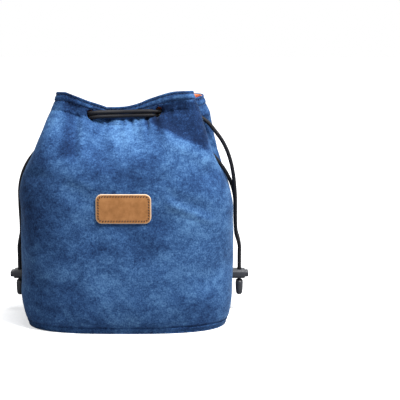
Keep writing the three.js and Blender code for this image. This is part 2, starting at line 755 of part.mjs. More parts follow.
function cordEndCup() {
  const outside = cordEndProfileShares.map(([rise, size]) => (
    ovalRing(size * cordEndWidth / 2, size * cordEndDepth / 2, rise * cordEndHeight)));
  const mouth = ovalRing(slotSpan / 2 + seat, slotDepth / 2 + seat, cordEndHeight);
  const floor = ovalRing(slotSpan / 2 + seat, slotDepth / 2 + seat, cordEndFloor);
  return ringSolid([...outside, mouth, floor]);
}

function cordKnot() {
  const knot = new THREE.SphereGeometry(1, 10, 6);
  knot.rotateX(quarterTurn);
  return knot.scale(slotDepth / 2 - seat, slotSpan / 2 - seat, knotHeight / 2);
}

// Assembly

const pouch = new THREE.Group();
pouch.add(
  piece('front_panel', outerPanel(frontGrid, -1), blue),
  piece('back_panel', outerPanel(backGrid, 1), blue),
  piece('base_panel', basePanel, blue),
  piece('front_padding', wallPadding(frontGrid), foam),
  piece('back_padding', wallPadding(backGrid), foam),
  piece('base_padding', basePadding, foam),
  piece('front_lining', wallLining(frontGrid), orange),
  piece('back_lining', wallLining(backGrid), orange),
  piece('base_lining', baseLining, orange),
  piece('leather_patch', leatherPatch(), tan),
  piece('left_drawcord', heldCord(-1, leftCordRise), black),
  piece('right_drawcord', heldCord(1, rightCordRise), black),
  piece('left_cord_front_strand', freeStrand(leftFrontRoute), black),
  piece('left_cord_back_strand', freeStrand(leftBackRoute), black),
  piece('right_cord_front_strand', freeStrand(rightFrontRoute), black),
  piece('right_cord_back_strand', freeStrand(rightBackRoute), black),
);

// The lock hangs a little above the cord end, and the cup's floor holds the knot
const strandFoot = rightFrontRoute[rightFrontRoute.length - 1][2];
const cupFoot = strandFoot - knotHeight - 2 * seat - cordEndFloor;
const lockPlace = cupFoot + cordEndHeight + lockDrop + lockHeight / 2;

function cordFittings(name, side, front, back) {
  const lock = new THREE.Group();
  lock.position.copy(pairPlace(front, back, lockPlace));
  lock.rotation.z = side > 0 ? 0 : halfTurn;
  const spring = piece(`${name}_lock_spring`, lockSpring(), steel);
  spring.position.x = -springMiddle;
  lock.add(
    piece(`${name}_lock_body`, lockBody(), charcoal),
    piece(`${name}_lock_plunger`, lockPlunger(), charcoal),
    spring,
  );
  const end = new THREE.Group();
  end.position.copy(pairPlace(front, back, cupFoot));
  const knot = piece(`${name}_cord_knot`, cordKnot(), black);
  knot.position.z = cordEndFloor + seat + knotHeight / 2;
  end.add(piece(`${name}_cord_end`, cordEndCup(), charcoal), knot);
  return [lock, end];
}

pouch.add(...cordFittings('left', -1, leftFrontRoute, leftBackRoute));
pouch.add(...cordFittings('right', 1, rightFrontRoute, rightBackRoute));

export default pouch;
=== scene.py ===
"""Dresses the drawstring lens pouch: napped cloth, plush lining, leather patch, cords, locks and cord ends.
Metres, +Z up. The front faces -Y, and the origin is on the ground under the middle of the base."""

import math

import bpy
import numpy as np
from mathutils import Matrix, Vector, noise


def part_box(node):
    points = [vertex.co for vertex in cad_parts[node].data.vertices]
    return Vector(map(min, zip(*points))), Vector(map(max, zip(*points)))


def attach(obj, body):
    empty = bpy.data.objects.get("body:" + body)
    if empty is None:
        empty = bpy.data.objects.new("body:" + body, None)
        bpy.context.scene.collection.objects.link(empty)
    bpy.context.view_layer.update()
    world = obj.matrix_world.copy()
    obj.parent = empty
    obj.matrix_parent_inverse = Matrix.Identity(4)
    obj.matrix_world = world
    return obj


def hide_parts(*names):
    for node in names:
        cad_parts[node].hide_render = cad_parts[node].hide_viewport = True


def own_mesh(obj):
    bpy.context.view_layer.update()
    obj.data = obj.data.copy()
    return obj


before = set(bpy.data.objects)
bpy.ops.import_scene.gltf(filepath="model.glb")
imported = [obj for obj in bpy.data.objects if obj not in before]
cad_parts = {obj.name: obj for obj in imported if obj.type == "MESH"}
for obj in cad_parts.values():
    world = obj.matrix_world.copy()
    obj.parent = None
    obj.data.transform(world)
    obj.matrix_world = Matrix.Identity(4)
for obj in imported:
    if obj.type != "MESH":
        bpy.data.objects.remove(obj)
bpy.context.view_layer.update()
bpy.ops.object.select_all(action="DESELECT")
scene = bpy.context.scene
scene.view_settings.view_transform = "Standard"


# Camera. It stands to the right of the pouch, as the photograph does, looks straight along +Y
# and tilts ten degrees down.
view_target = Vector((0.073, 0.0, 0.1224))
view_distance = 1.3
view_elevation = math.radians(10)
view_offset = Vector((0, -math.cos(view_elevation), math.sin(view_elevation))) * view_distance
bpy.ops.object.camera_add(
    location=view_target + view_offset, rotation=(math.pi / 2 - view_elevation, 0, 0)
)
camera = bpy.context.object
camera.data.lens = 117
camera.data.sensor_width = 36
scene.camera = camera


# Free strands. Each drawcord leaves the neck as two strands of round woven cord, 4 mm thick. They
# bow out of the side pleat, lie down the side of the pouch and hang through the lock to the cord end.
cord_diameter = 0.004
free_routes = {
    "right_cord_front_strand": [
        (0.0436, -0.0022, 0.2093), (0.047, -0.0022, 0.2093), (0.056, -0.0022, 0.2092),
        (0.065, -0.0021, 0.2084), (0.073, -0.002, 0.206), (0.081, -0.0016, 0.2004),
        (0.088, -0.0008, 0.192), (0.0948, 0.0006, 0.1825), (0.1002, 0.0024, 0.1715),
        (0.104, 0.0044, 0.1595), (0.1064, 0.0066, 0.147), (0.1078, 0.009, 0.1345),
        (0.1086, 0.0115, 0.1215), (0.1088, 0.0155, 0.108), (0.1091, 0.0205, 0.095),
        (0.11, 0.0262, 0.083), (0.1122, 0.0316, 0.075), (0.1137, 0.0338, 0.068),
        (0.1137, 0.0338, 0.06), (0.1137, 0.0338, 0.05), (0.1137, 0.0338, 0.042),
        (0.1137, 0.0338, 0.034), (0.1137, 0.0338, 0.0253),
    ],
    "right_cord_back_strand": [
        (0.0436, 0.0022, 0.2093), (0.046, 0.0022, 0.2093), (0.0492, 0.0022, 0.2072),
        (0.0518, 0.0022, 0.2024), (0.056, 0.0022, 0.196), (0.0618, 0.0022, 0.19), (0.0678, 0.0022, 0.185),
        (0.0734, 0.0023, 0.18), (0.0787, 0.0026, 0.175), (0.0836, 0.003, 0.17), (0.088, 0.0036, 0.165),
        (0.092, 0.0043, 0.16), (0.0956, 0.0062, 0.155), (0.0987, 0.008, 0.15), (0.1036, 0.0112, 0.14),
        (0.1068, 0.0146, 0.13), (0.1084, 0.0176, 0.12), (0.1087, 0.0206, 0.1094), (0.109, 0.0247, 0.0968),
        (0.11, 0.0302, 0.0852), (0.1122, 0.0357, 0.077), (0.1137, 0.0382, 0.0687), (0.1137, 0.0382, 0.06),
        (0.1137, 0.0382, 0.05), (0.1137, 0.0382, 0.042), (0.1137, 0.0382, 0.034), (0.1137, 0.0382, 0.0253),
    ],
    "left_cord_front_strand": [
        (-0.0436, -0.0022, 0.2082), (-0.046, -0.0022, 0.2082), (-0.0494, -0.0022, 0.206),
        (-0.054, -0.0022, 0.2004), (-0.0612, -0.0021, 0.195), (-0.0688, -0.0019, 0.19),
        (-0.0756, -0.0016, 0.185), (-0.0817, -0.0013, 0.18), (-0.0869, -0.0008, 0.175),
        (-0.0915, -0.0002, 0.17), (-0.0955, 0.0006, 0.165), (-0.0988, 0.0015, 0.16),
        (-0.1015, 0.0026, 0.155), (-0.1037, 0.0039, 0.15), (-0.1067, 0.0063, 0.14),
        (-0.1082, 0.0089, 0.13), (-0.1086, 0.0117, 0.12), (-0.1089, 0.0152, 0.1092),
        (-0.1091, 0.0204, 0.095), (-0.1102, 0.0261, 0.083), (-0.1124, 0.0316, 0.075),
        (-0.1137, 0.0338, 0.068), (-0.1137, 0.0338, 0.06), (-0.1137, 0.0338, 0.05),
        (-0.1137, 0.0338, 0.042), (-0.1137, 0.0338, 0.034), (-0.1137, 0.0338, 0.0253),
    ],
    "left_cord_back_strand": [
        (-0.0436, 0.0022, 0.2082), (-0.046, 0.0022, 0.2082), (-0.0494, 0.0022, 0.206),
        (-0.054, 0.0022, 0.2004), (-0.0612, 0.0024, 0.195), (-0.0688, 0.0026, 0.19),
        (-0.0756, 0.0029, 0.185), (-0.0817, 0.0032, 0.18), (-0.0869, 0.0037, 0.175),
        (-0.0915, 0.0043, 0.17), (-0.0955, 0.0051, 0.165), (-0.0988, 0.006, 0.16),
        (-0.1015, 0.0071, 0.155), (-0.1037, 0.0084, 0.15), (-0.1067, 0.0108, 0.14),
        (-0.1082, 0.0134, 0.13), (-0.1086, 0.0162, 0.12), (-0.1088, 0.0198, 0.1094),
        (-0.1091, 0.0247, 0.0968), (-0.1102, 0.0302, 0.0852), (-0.1124, 0.0357, 0.077),
        (-0.1137, 0.0382, 0.0687), (-0.1137, 0.0382, 0.06), (-0.1137, 0.0382, 0.05),
        (-0.1137, 0.0382, 0.042), (-0.1137, 0.0382, 0.034), (-0.1137, 0.0382, 0.0253),
    ],
}


def vertex_places(piece):
    flat = np.empty(len(piece.data.vertices) * 3)
    piece.data.vertices.foreach_get("co", flat)
    return flat.reshape(-1, 3)


def move_vertices(piece, places):
    piece.data.vertices.foreach_set("co", places.ravel())
    piece.data.update()


def apply_modifiers(piece):
    bpy.context.view_layer.objects.active = piece
    for modifier in list(piece.modifiers):
        bpy.ops.object.modifier_apply(modifier=modifier.name)


def run_along(line):
    """Length along a line of points, up to each of them."""
    return np.concatenate([[0], np.cumsum(np.linalg.norm(np.diff(line, axis=0), axis=1))])


def points_at(line, lengths):
    """Points of a line at chosen lengths along it."""
    run = run_along(line)
    return np.stack([np.interp(lengths, run, values) for values in line.T], axis=1)


def smooth_route(points, spacing):
    """Points at an even spacing on one smooth curve through the chosen ones."""
    chosen = np.array(points, float)
    chosen = np.vstack([2 * chosen[0] - chosen[1], chosen, 2 * chosen[-1] - chosen[-2]])
    t = np.linspace(0, 1, 16, endpoint=False)[:, None]
    fine = []
    for a, b, c, d in zip(chosen, chosen[1:], chosen[2:], chosen[3:]):
        first, middle, last = (math.sqrt(math.dist(p, q)) for p, q in ((a, b), (b, c), (c, d)))
        leave = ((b - a) / first - (c - a) / (first + middle) + (c - b) / middle) * middle
        arrive = ((c - b) / middle - (d - b) / (middle + last) + (d - c) / last) * middle
        fine.append(
            (2 * t**3 - 3 * t**2 + 1) * b + (t**3 - 2 * t**2 + t) * leave
            + (3 * t**2 - 2 * t**3) * c + (t**3 - t**2) * arrive
        )
    fine = np.vstack(fine + [chosen[-2]])
    length = run_along(fine)[-1]
    count = max(8, round(length / spacing))
    return points_at(fine, np.linspace(0, length, count + 1))


def shaped_grid(name, columns, rows, place):
    """A grid primitive whose vertices move to place(u, v), with u and v from 0 to 1."""
    bpy.ops.mesh.primitive_grid_add(x_subdivisions=columns, y_subdivisions=rows, size=1)
    piece = bpy.context.object
    piece.name = piece.data.name = name
    flat = vertex_places(piece)
    move_vertices(piece, place(flat[:, 0] + 0.5, flat[:, 1] + 0.5))
    return piece


def turn_outwards():
    """Turns the faces of the piece in edit mode outwards, and leaves that mode."""
    bpy.ops.mesh.select_all(action="SELECT")
    bpy.ops.mesh.normals_make_consistent(inside=False)
    bpy.ops.object.mode_set(mode="OBJECT")


def close_tube(piece):
    """Joins the long seam of a rolled grid, fills its ends and turns its faces outwards."""
    bpy.ops.object.mode_set(mode="EDIT")
    bpy.ops.mesh.select_all(action="SELECT")
    bpy.ops.mesh.remove_doubles(threshold=1e-6)
    bpy.ops.mesh.fill_holes(sides=0)
    turn_outwards()
    bpy.ops.object.shade_smooth_by_angle(angle=math.radians(50))
    return piece


def thicken(piece, thickness):
    """Adds a modifier that gives a sheet its thickness towards the inside."""
    solid = piece.modifiers.new("thickness", "SOLIDIFY")
    solid.thickness = thickness
    solid.offset = -1
    return solid


def thread_stitches(name, starts, ends, thickness):
    """One object of many small capsules, each a stitch of thread from its start to its end."""
    bpy.ops.mesh.primitive_uv_sphere_add(segments=8, ring_count=6, radius=1)
    piece = bpy.context.object
    piece.name = piece.data.name = name
    one = len(piece.data.vertices)
    copies = piece.modifiers.new("copies", "ARRAY")
    copies.count = len(starts)
    copies.use_relative_offset = False
    copies.use_constant_offset = True
    copies.constant_offset_displace = (0, 0, 0)
    apply_modifiers(piece)
    shape = vertex_places(piece)
    which = np.arange(len(shape)) // one
    run = (ends - starts)[which]
    length = np.linalg.norm(run, axis=1)[:, None]
    run = run / length
    side = np.cross(run, (0.31, 0.87, 0.38))
    side /= np.linalg.norm(side, axis=1)[:, None]
    up = np.cross(run, side)
    radius = thickness / 2
    along = shape[:, 2:] * radius + np.sign(np.round(shape[:, 2:], 3)) * (length / 2 - radius)
    middle = ((starts + ends) / 2)[which]
    move_vertices(piece, middle + run * along + (side * shape[:, :1] + up * shape[:, 1:2]) * radius)
    bpy.ops.object.shade_smooth()
    return piece


def woven_cord(name, line, diameter, around=32, bump=0.035):
    """A round cord along a line of points, with the lozenge bumps of its plaited strands."""
    carriers, lay = 4, 0.0021
    tangent = np.gradient(line, axis=0)
    tangent /= np.linalg.norm(tangent, axis=1)[:, None]
    sides = []
    side = np.cross(tangent[0], (0.3, 0.5, 0.8))
    for direction in tangent:
        side = side - direction * side.dot(direction)
        side = side / np.linalg.norm(side)
        sides.append(side)
    sides = np.array(sides)
    ups = np.cross(tangent, sides)
    along = run_along(line)

    def place(u, v):
        row = np.rint(v * (len(line) - 1)).astype(int)
        angle = u * math.tau
        plait = np.cos(2 * carriers * angle) + np.cos(math.tau * along[row] / lay)
        radius = diameter / 2 * (1 + bump * (plait / 2 - 1))
        out = np.cos(angle)[:, None] * sides[row] + np.sin(angle)[:, None] * ups[row]
        return line[row] + out * radius[:, None]

    return close_tube(shaped_grid(name, around, len(line) - 1, place))


def material_tree(name, looks):
    """A new material with a Principled shader that looks as given, and its Object coordinates."""
    material = bpy.data.materials.new(name)
    material.use_nodes = True
    tree = material.node_tree
    tree.nodes.clear()
    output = tree.nodes.new("ShaderNodeOutputMaterial")
    shader = tree.nodes.new("ShaderNodeBsdfPrincipled")
    for key, value in looks.items():
        shader.inputs[key].default_value = value
    tree.links.new(shader.outputs["BSDF"], output.inputs["Surface"])
    coordinates = tree.nodes.new("ShaderNodeTexCoord")
    return material, tree, shader, coordinates.outputs["Object"]


def add_node(tree, kind, links=None, settings=None, **values):
    """Adds a node with its settings, its input values and the sockets that feed it."""
    node = tree.nodes.new("ShaderNode" + kind)
    for key, value in (settings or {}).items():
        setattr(node, key, value)
    for key, value in values.items():
        node.inputs[key].default_value = value
    for key, socket in (links or {}).items():
        tree.links.new(socket, node.inputs[key])
    return node


def add_math(tree, operation, *values):
    """Joins sockets and plain numbers by a Math node, and gives its result as a socket."""
    node = add_node(tree, "Math", None, {"operation": operation})
    for place, value in zip(node.inputs, values):
        if isinstance(value, bpy.types.NodeSocket):
            tree.links.new(value, place)
        else:
            place.default_value = value
    return node.outputs[0]


def add_noise(tree, coordinates, scale, detail=3.0, roughness=0.55, distortion=0.0):
    """A noise pattern over the surface, as a socket from 0 to 1."""
    node = add_node(
        tree, "TexNoise", {"Vector": coordinates}, Scale=scale, Detail=detail,
        Roughness=roughness, Distortion=distortion,
    )
    return node.outputs["Fac"]


def add_ramp(tree, factor, stops):
    """Colours along a factor, from (place, colour) stops."""
    node = add_node(tree, "ValToRGB", {"Fac": factor})
    ramp = node.color_ramp
    while len(ramp.elements) < len(stops):
        ramp.elements.new(0.5)
    for element, (place, colour) in zip(ramp.elements, stops):
        element.position = place
        element.color = (*colour, 1)
    return node.outputs["Color"]


def add_bumps(tree, shader, layers):
    """Chains bumps, each given as (height socket, strength, distance in metres)."""
    normal = None
    for height, strength, distance in layers:
        feeds = {"Height": height}
        if normal:
            feeds["Normal"] = normal
        node = add_node(tree, "Bump", feeds, Strength=strength, Distance=distance)
        normal = node.outputs["Normal"]
    tree.links.new(normal, shader.inputs["Normal"])


def grained_material(name, looks, patterns, shades, bumps):
    """A material coloured along the first of its noise patterns, and embossed by each of them."""
    material, tree, shader, spot = material_tree(name, looks)
    grains = [add_noise(tree, spot, *pattern) for pattern in patterns]
    tree.links.new(add_ramp(tree, grains[0], shades), shader.inputs["Base Color"])
    add_bumps(tree, shader, [(grain, *bump) for grain, bump in zip(grains, bumps)])
    return material


def wear(piece, material):
    piece.data.materials.clear()
    piece.data.materials.append(material)


def dress(piece, material, body, node=None):
    """Gives a piece its material and its body, and hides the node that it stands for."""
    wear(piece, material)
    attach(piece, body)
    if node:
        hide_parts(node)


blacks = [(0.3, (0.003, 0.003, 0.005)), (0.6, (0.006, 0.006, 0.009)), (0.85, (0.018, 0.018, 0.022))]
cord_looks = {"Roughness": 0.62, "Specular IOR Level": 0.3, "Sheen Weight": 0.12, "Sheen Roughness": 0.4}
cord_cloth = grained_material("woven_cord", cord_looks, [(2600, 2)], blacks, [(0.5, 0.0002)])
strands = {}
for name, route in free_routes.items():
    line = smooth_route(route, 0.0005)
    strand = woven_cord(name + "_woven", line, cord_diameter)
    dress(strand, cord_cloth, "pouch", name)
    strands[name] = (strand, line)


# Pouch wall. Each panel is cut from one piece of napped cloth over foam. The body is a rounded
# oblong in plan, and above the shoulder the sides fold inwards between a front and a back lobe.
body_half_width, body_half_depth = 0.106, 0.062
base_half_width, base_half_depth = 0.0995, 0.058
base_round_height = 0.036
shoulder_height = 0.118
outline_power = 2.9
neck_half_depth, lobe_radius, valley_radius = 0.018, 0.010, 0.005
seam_reach = 0.035
lobe_reach = {-1: {-1: 0.072, 1: 0.072}, 1: {-1: 0.071, 1: 0.0825}}
rim_corner_height = {-1: {-1: 0.233, 1: 0.234}, 1: {-1: 0.221, 1: 0.227}}
rim_dip_height = {-1: 0.218, 1: 0.208}
rim_dip_offset = {-1: 0.016, 1: 0.0}
rim_dip_half_width = 0.005
rim_seam_height = {-1: 0.2185, 1: 0.224}
casing_foot_drop = 0.018
station_shares = [0, 0.09, 0.18, 0.27, 0.37, 0.46, 0.55, 0.61, 0.675, 0.735, 0.795, 0.925, 0.963, 1]
lobe_station, arm_station, valley_station, half_turn_stations = 6, 10, 11, 4
station_softness = 0.03
face_shares = [0, 0.17, 0.34, 0.5, 0.68, 0.84, 1]
fold_rim_shares = [0, 0.05, 0.2, 0.45, 0.78, 1, 1, 1]
rim_dip_round = 0.004
right_rim_lag, right_rim_climb, right_rim_share = 0.12, 0.8, 0.8
face_gather_power = 3.7
lobe_gather_power = {-1: 2.6, 1: 1.85}
rim_draw, rim_flare = 0.079, 0.04


def superellipse(angle, half_width, half_depth):
    """Plan point of a rounded oblong, from the middle of a face to the side seam."""
    x = half_width * np.sin(angle) ** (2 / outline_power)
    y = half_depth * np.clip(np.cos(angle), 0, 1) ** (2 / outline_power)
    return x, y


turn = (1 - np.cos(np.linspace(0, math.pi, 4001))) * math.pi / 4
outline_run = run_along(np.stack(superellipse(turn, body_half_width, body_half_depth), axis=1))
outline_share = outline_run / outline_run[-1]


def ease(value):
    value = np.clip(value, 0, 1)
    return value * value * (3 - 2 * value)


def mix(a, b, share):
    return a + (b - a) * share


def rise_from(at, start, width):
    """0 up to a start, and then easing to 1 over a width."""
    return ease((at - start) / width)


def fall_to(at, end, width):
    """Easing from 1 to 0 over the width before an end."""
    return ease((end - at) / width)


def window(at, span):
    """1 between a start and an end, from (start, width of its rise, end, width of its fall)."""
    start, start_width, end, end_width = span
    return rise_from(at, start, start_width) * fall_to(at, end, end_width)


def bell(distance, width):
    return np.exp(-((distance / width) ** 2))


def ridge(at, shape):
    """A rounded ridge, or a groove, from its (middle, width, height)."""
    middle, width, height = shape
    return height * bell(at - middle, width)


def body_plan(share, half_width, half_depth):
    """Plan point of the body's outline in one quadrant, at a share of the way to the side seam."""
    return superellipse(np.interp(share, outline_share, turn), half_width, half_depth)


def softened(values, share, width):
    """Rounds the kinks of a table over the stations, keeping its two ends in place."""
    stations = np.arange(len(station_shares))
    steps = np.linspace(-width, width, 9)
    total = 0
    for step in steps:
        at = share + step
        folded = np.where(at < 0, -at, np.where(at > 1, 2 - at, at))
        found = np.interp(np.interp(folded, station_shares, stations), stations, values)
        if values[0] == 0:
            found = np.where(at < 0, -found, found)
        total = total + np.where(at > 1, 2 * values[-1] - found, found)
    return total / len(steps)


def station_of(share):
    """The station, with its fraction, and the share of the flat face passed there."""
    station = softened(np.arange(float(len(station_shares))), share, station_softness)
    return station, np.interp(station, np.arange(len(face_shares)), face_shares)


def neck_plan(share, reach):
    """Plan point of the neck's outline: a flat face, the lobe, the arm of the fold and its valley."""
    station, run = station_of(share)
    face_end = reach - lobe_radius
    face_y = mix(neck_half_depth, valley_radius + 2 * lobe_radius, rise_from(run, 0.3, 0.38))
    lobe_turn = (station - lobe_station) / half_turn_stations * math.pi
    arm = station - arm_station
    valley_turn = (station - valley_station) / half_turn_stations * math.pi
    where = [station < lobe_station, station < arm_station, station < valley_station]
    x = np.select(where, [
        run * face_end,
        face_end + lobe_radius * np.sin(lobe_turn),
        mix(face_end, seam_reach + valley_radius, arm),
    ], seam_reach + valley_radius * (1 - np.sin(valley_turn)))
    y = np.select(where, [
        face_y,
        valley_radius + lobe_radius * (1 + np.cos(lobe_turn)),
        valley_radius + 0 * arm,
    ], valley_radius * np.cos(valley_turn))
    return x, y


def by_side(values, side):
    return np.where(side > 0, values[1], values[-1])


def rim_height(face, side, share):
    """Height of the mouth's edge, with its dip over the middle of the face."""
    corner = by_side(rim_corner_height[face], side)
    face_end = by_side(lobe_reach[face], side) - lobe_radius
    station, run = station_of(share)
    offset = rim_dip_offset[face]
    beyond = side * run * face_end + offset
    away = np.sqrt(beyond**2 + rim_dip_round**2) - rim_dip_half_width
    climb = np.clip(away / (face_end + np.sign(beyond) * offset - rim_dip_half_width), 0, 1)
    if face < 0:
        later = mix(climb, rise_from(climb, right_rim_lag, right_rim_climb), right_rim_share)
        climb = np.where(beyond > 0, later, climb)
    on_face = mix(rim_dip_height[face], corner, climb)
    fold = np.interp(station, np.arange(lobe_station, len(station_shares)), fold_rim_shares)
    on_fold = mix(corner, by_side(rim_seam_height, side), ease(fold))
    return np.where(station < lobe_station, on_face, on_fold)


def seam_to_seam(face, u):
    """At shares u along a panel: the side of the pouch, and the share from the face's middle to the seam."""
    across = 2 * u - 1
    return -face * np.sign(across + 1e-12), np.abs(across)


def rim_of(face, u):
    """Height of the mouth's edge at shares u along a panel."""
    return rim_height(face, *seam_to_seam(face, u))


def wall_point(face, u, height_of):
    """Points of the cloth's outside at shares u along a panel, seam to seam, and their heights."""
    side, share = seam_to_seam(face, u)
    rim = rim_height(face, side, share)
    z = height_of(rim)
    rise = 1 - np.clip(1 - z / base_round_height, 0, 1) ** 2
    half_width = mix(base_half_width, body_half_width, rise)
    half_depth = mix(base_half_depth, body_half_depth, rise)
    body_x, body_y = body_plan(share, half_width, half_depth)
    neck_x, neck_y = neck_plan(share, by_side(lobe_reach[face], side))
    foot = rim - casing_foot_drop
    to_lobe = ease(share / station_shares[lobe_station])
    power = mix(face_gather_power, by_side(lobe_gather_power, side), to_lobe)
    gathered = np.clip((z - shoulder_height) / (foot - shoulder_height), 0, 1) ** power
    drawn = np.clip((z - foot) / (rim - foot), 0, 1)
    x = mix(body_x, neck_x * (1 - rim_draw * drawn), gathered)
    y = mix(body_y, neck_y * (1 + rim_flare * drawn), gathered)
    return np.stack([side * x, face * y, z], axis=1)


def wall_inward(face, u, height_of):
    """Level vectors that point into the wall at the same places."""
    step = 0.004
    before = wall_point(face, np.clip(u - step, 0, 1), height_of)
    after = wall_point(face, np.clip(u + step, 0, 1), height_of)
    run = (after - before)[:, :2]
    run /= np.linalg.norm(run, axis=1)[:, None]
    return np.stack([-run[:, 1], run[:, 0], 0 * u], axis=1)


panel_foot = 0.0018
panel_columns, panel_rows = 100, 92
row_shares = [0, 0.08, 0.5, 1]
row_heights = [0, 0.05, 0.64, 1]


def rows_from(foot, v, drop=0):
    """Heights of rows from a foot to the rim: the upper third of the wall has half of them."""
    def height_of(rim):
        return mix(foot, rim - drop, np.interp(v, row_shares, row_heights))
    return height_of


def panel_values(piece):
    """The share along and up a panel of each of its vertices, from its UV map."""
    mesh = piece.data
    uv = np.empty(len(mesh.loops) * 2)
    mesh.uv_layers[0].data.foreach_get("uv", uv)
    corner = np.empty(len(mesh.loops), int)
    mesh.loops.foreach_get("vertex_index", corner)
    values = np.empty((len(mesh.vertices), 2))
    values[corner] = uv.reshape(-1, 2)
    return values[:, 0], values[:, 1]


patch_middle, patch_half_width, patch_half_height = 0.1247, 0.0265, 0.01425
patch_hold, patch_release = 0.001, 0.014


def off_patch(face, places):
    """0 under the leather patch, which is sewn down flat, and 1 away from it."""
    if face > 0:
        return np.ones(len(places))
    beside = np.maximum(np.abs(places[:, 0]) - patch_half_width, 0)
    above = np.maximum(np.abs(places[:, 2] - patch_middle) - patch_half_height, 0)
    return rise_from(np.hypot(beside, above), patch_hold, patch_release)


cloth_frames, swell_limit = 18, 0.0022


def puff(piece, held_down, seed):
    """Lets the padded cloth swell and wrinkle between its seams by cloth simulation."""
    held = piece.vertex_groups.new(name="held")
    held.add([int(i) for i in np.nonzero(held_down)[0]], 1.0, "REPLACE")
    start = vertex_places(piece)
    nudge = np.random.default_rng(seed).normal(0, 0.0001, start.shape)
    move_vertices(piece, start + nudge)
    cloth = piece.modifiers.new("puff", "CLOTH")
    settings = cloth.settings
    settings.vertex_group_mass = "held"
    settings.quality = 6
    settings.mass = 0.3
    settings.tension_stiffness = settings.compression_stiffness = 30
    settings.shear_stiffness = 15
    settings.bending_stiffness = 6
    settings.shrink_min = settings.shrink_max = -0.016
    settings.use_pressure = True
    settings.uniform_pressure_force = 0.8
    settings.effector_weights.gravity = 0
    cloth.collision_settings.use_self_collision = False
    for number in range(1, cloth_frames + 1):
        scene.frame_set(number)
    apply_modifiers(piece)
    scene.frame_set(1)
    moved = vertex_places(piece) - start
    length = np.linalg.norm(moved, axis=1)[:, None]
    moved = moved * np.tanh(length / swell_limit) * swell_limit / np.maximum(length, 1e-9)
    move_vertices(piece, start + moved)
    return moved


def calmed(field, rounds):
    """Takes the shortest ripples out of a field over the panel, as the foam under the cloth does."""
    for _ in range(rounds):
        padded = np.pad(field, ((1, 1), (0, 0), (0, 0)), "edge")
        field = (padded[:-2] + 2 * field + padded[2:]) / 4
        padded = np.pad(field, ((0, 0), (1, 1), (0, 0)), "edge")
        field = (padded[:, :-2] + 2 * field + padded[:, 2:]) / 4
    return field


settled = {}


def swelling(face, u, v):
    """How far the simulated cloth moved at the shares u and v of a panel."""
    field = settled[face]
    column = np.clip(u, 0, 1) * panel_columns
    row = np.clip(v, 0, 1) * panel_rows
    left = np.minimum(column.astype(int), panel_columns - 1)
    low = np.minimum(row.astype(int), panel_rows - 1)
    across, up = (column - left)[:, None], (row - low)[:, None]
    under = mix(field[low, left], field[low, left + 1], across)
    over = mix(field[low + 1, left], field[low + 1, left + 1], across)
    return mix(under, over, up)


def value_noise(places, scale, seed):
    """Smooth noise from about -1 to 1 at each place."""
    return np.array([noise.noise(Vector(p * scale) + Vector((seed, seed, seed))) for p in places])


hem_line, casing_line, casing_foot_line = 0.0027, 0.0087, 0.0158
casing_head_drop, base_seam_height = 0.007, 0.0066
slit_height_drop = 0.0125
slit_half_width, slit_half_height = 0.0036, 0.0046
slits = {-1: (-0.0330, 0.0324), 1: (-0.036, 0.036)}
slit_drops = {-1: (slit_height_drop, 0.0148), 1: (slit_height_drop, slit_height_drop)}
slit_edge_reach, slit_out_of_reach = 1.8, 9
lobe_outside, slit_outside, front_outside = 0.006, 0.012, 0.008
crossing_end, crossing_fade = 0.046, 0.012
seam_rise, seam_rise_x, seam_rise_width = {-1: 0.0038, 1: 0.0}, -0.008, 0.028

# Ridges and grooves beside the rim, the seams, the slits, the fold and the dent: middle, width, height.
rim_ridges = [(0.0011, 0.0016, 0.0005), (hem_line, 0.0007, -0.0006), (0.0056, 0.0022, 0.0004)]
casing_groove, foot_groove = (casing_line, 0.0008, -0.0007), (casing_foot_line, 0.0011, -0.0004)
slit_groove, slit_roll = (0.95, 0.16, -0.0011), (1.45, 0.25, 0.0005)
side_groove, base_groove, base_tuck = (1, 0.010, -0.0010), (base_seam_height, 0.0010, -0.0009), 0.0006
fold_ridge, dent_ridge, dent_hollow = (-0.009, 0.008, 0.0018), (0, 0.0045, 0.0012), (0.010, 0.0060, -0.0010)

# Slanting lines on the front: x and height of one point, and how steeply the line falls to the right.
fold_line, dent_line = (0.039, 0.1985, 0.5), (0.045, 0.1275, 0.44)
fold_span, dent_span = (0.030, 0.012, 0.088, 0.016), (0.036, 0.012, 0.092, 0.02)
hollow_depth, hollow_start, hollow_rise, hollow_span = 0.0048, -0.004, 0.012, (0.030, 0.012, 0.076, 0.030)
crease_x, crease_half_width, crease_depth, crease_foot, crease_rise = -0.048, 0.009, 0.0034, 0.165, 0.015

# Puckers below the cords: x, slant, width, depth, length.
front_puckers = [
    (-0.0160, -0.2, 0.0015, 0.0018, 0.010), (-0.0020, 0.2, 0.0015, 0.0022, 0.011),
    (0.0060, 0.1, 0.0016, 0.0022, 0.012), (0.0222, 0.0, 0.0021, 0.0040, 0.020),
    (0.0290, 0.35, 0.0034, 0.0044, 0.026),
]
fan_x, fan_slant, fan_pitch, fan_height, fan_length = -0.004, 0.45, 370, 0.0011, 0.020
fan_middle, fan_width, fan_start = 0.002, 0.026, 0.003

# Gathers of the neck, with their waves as (share, radians a metre, shift by the wander, phase).
pleat_waves = [(0.6, 640, 1.0, 0.0), (0.4, 1010, 2.2, 0.7)]
pleat_height, pleat_length, idle_pleats = 0.0013, 0.007, 0.15
push_height, push_end, push_fade, push_length = 0.003, 0.038, 0.020, 0.010
slope_height, slope_start, slope_rise, slope_length = 0.0026, 0.001, 0.0085, 0.012
roll_height, roll_rise, roll_level, roll_width = 0.0042, 0.006, 0.0055, 0.0115

# Slow unevenness of the cloth over its foam: scale, seed, height.
unevenness = [(16, 3.1, 0.0011), (48, 7.7, 0.0006)]


def outside(face, places, depth=lobe_outside):
    """Where the cloth lies on the outer side of its lobe, past a depth from the pouch's middle."""
    return places[:, 1] * face > depth


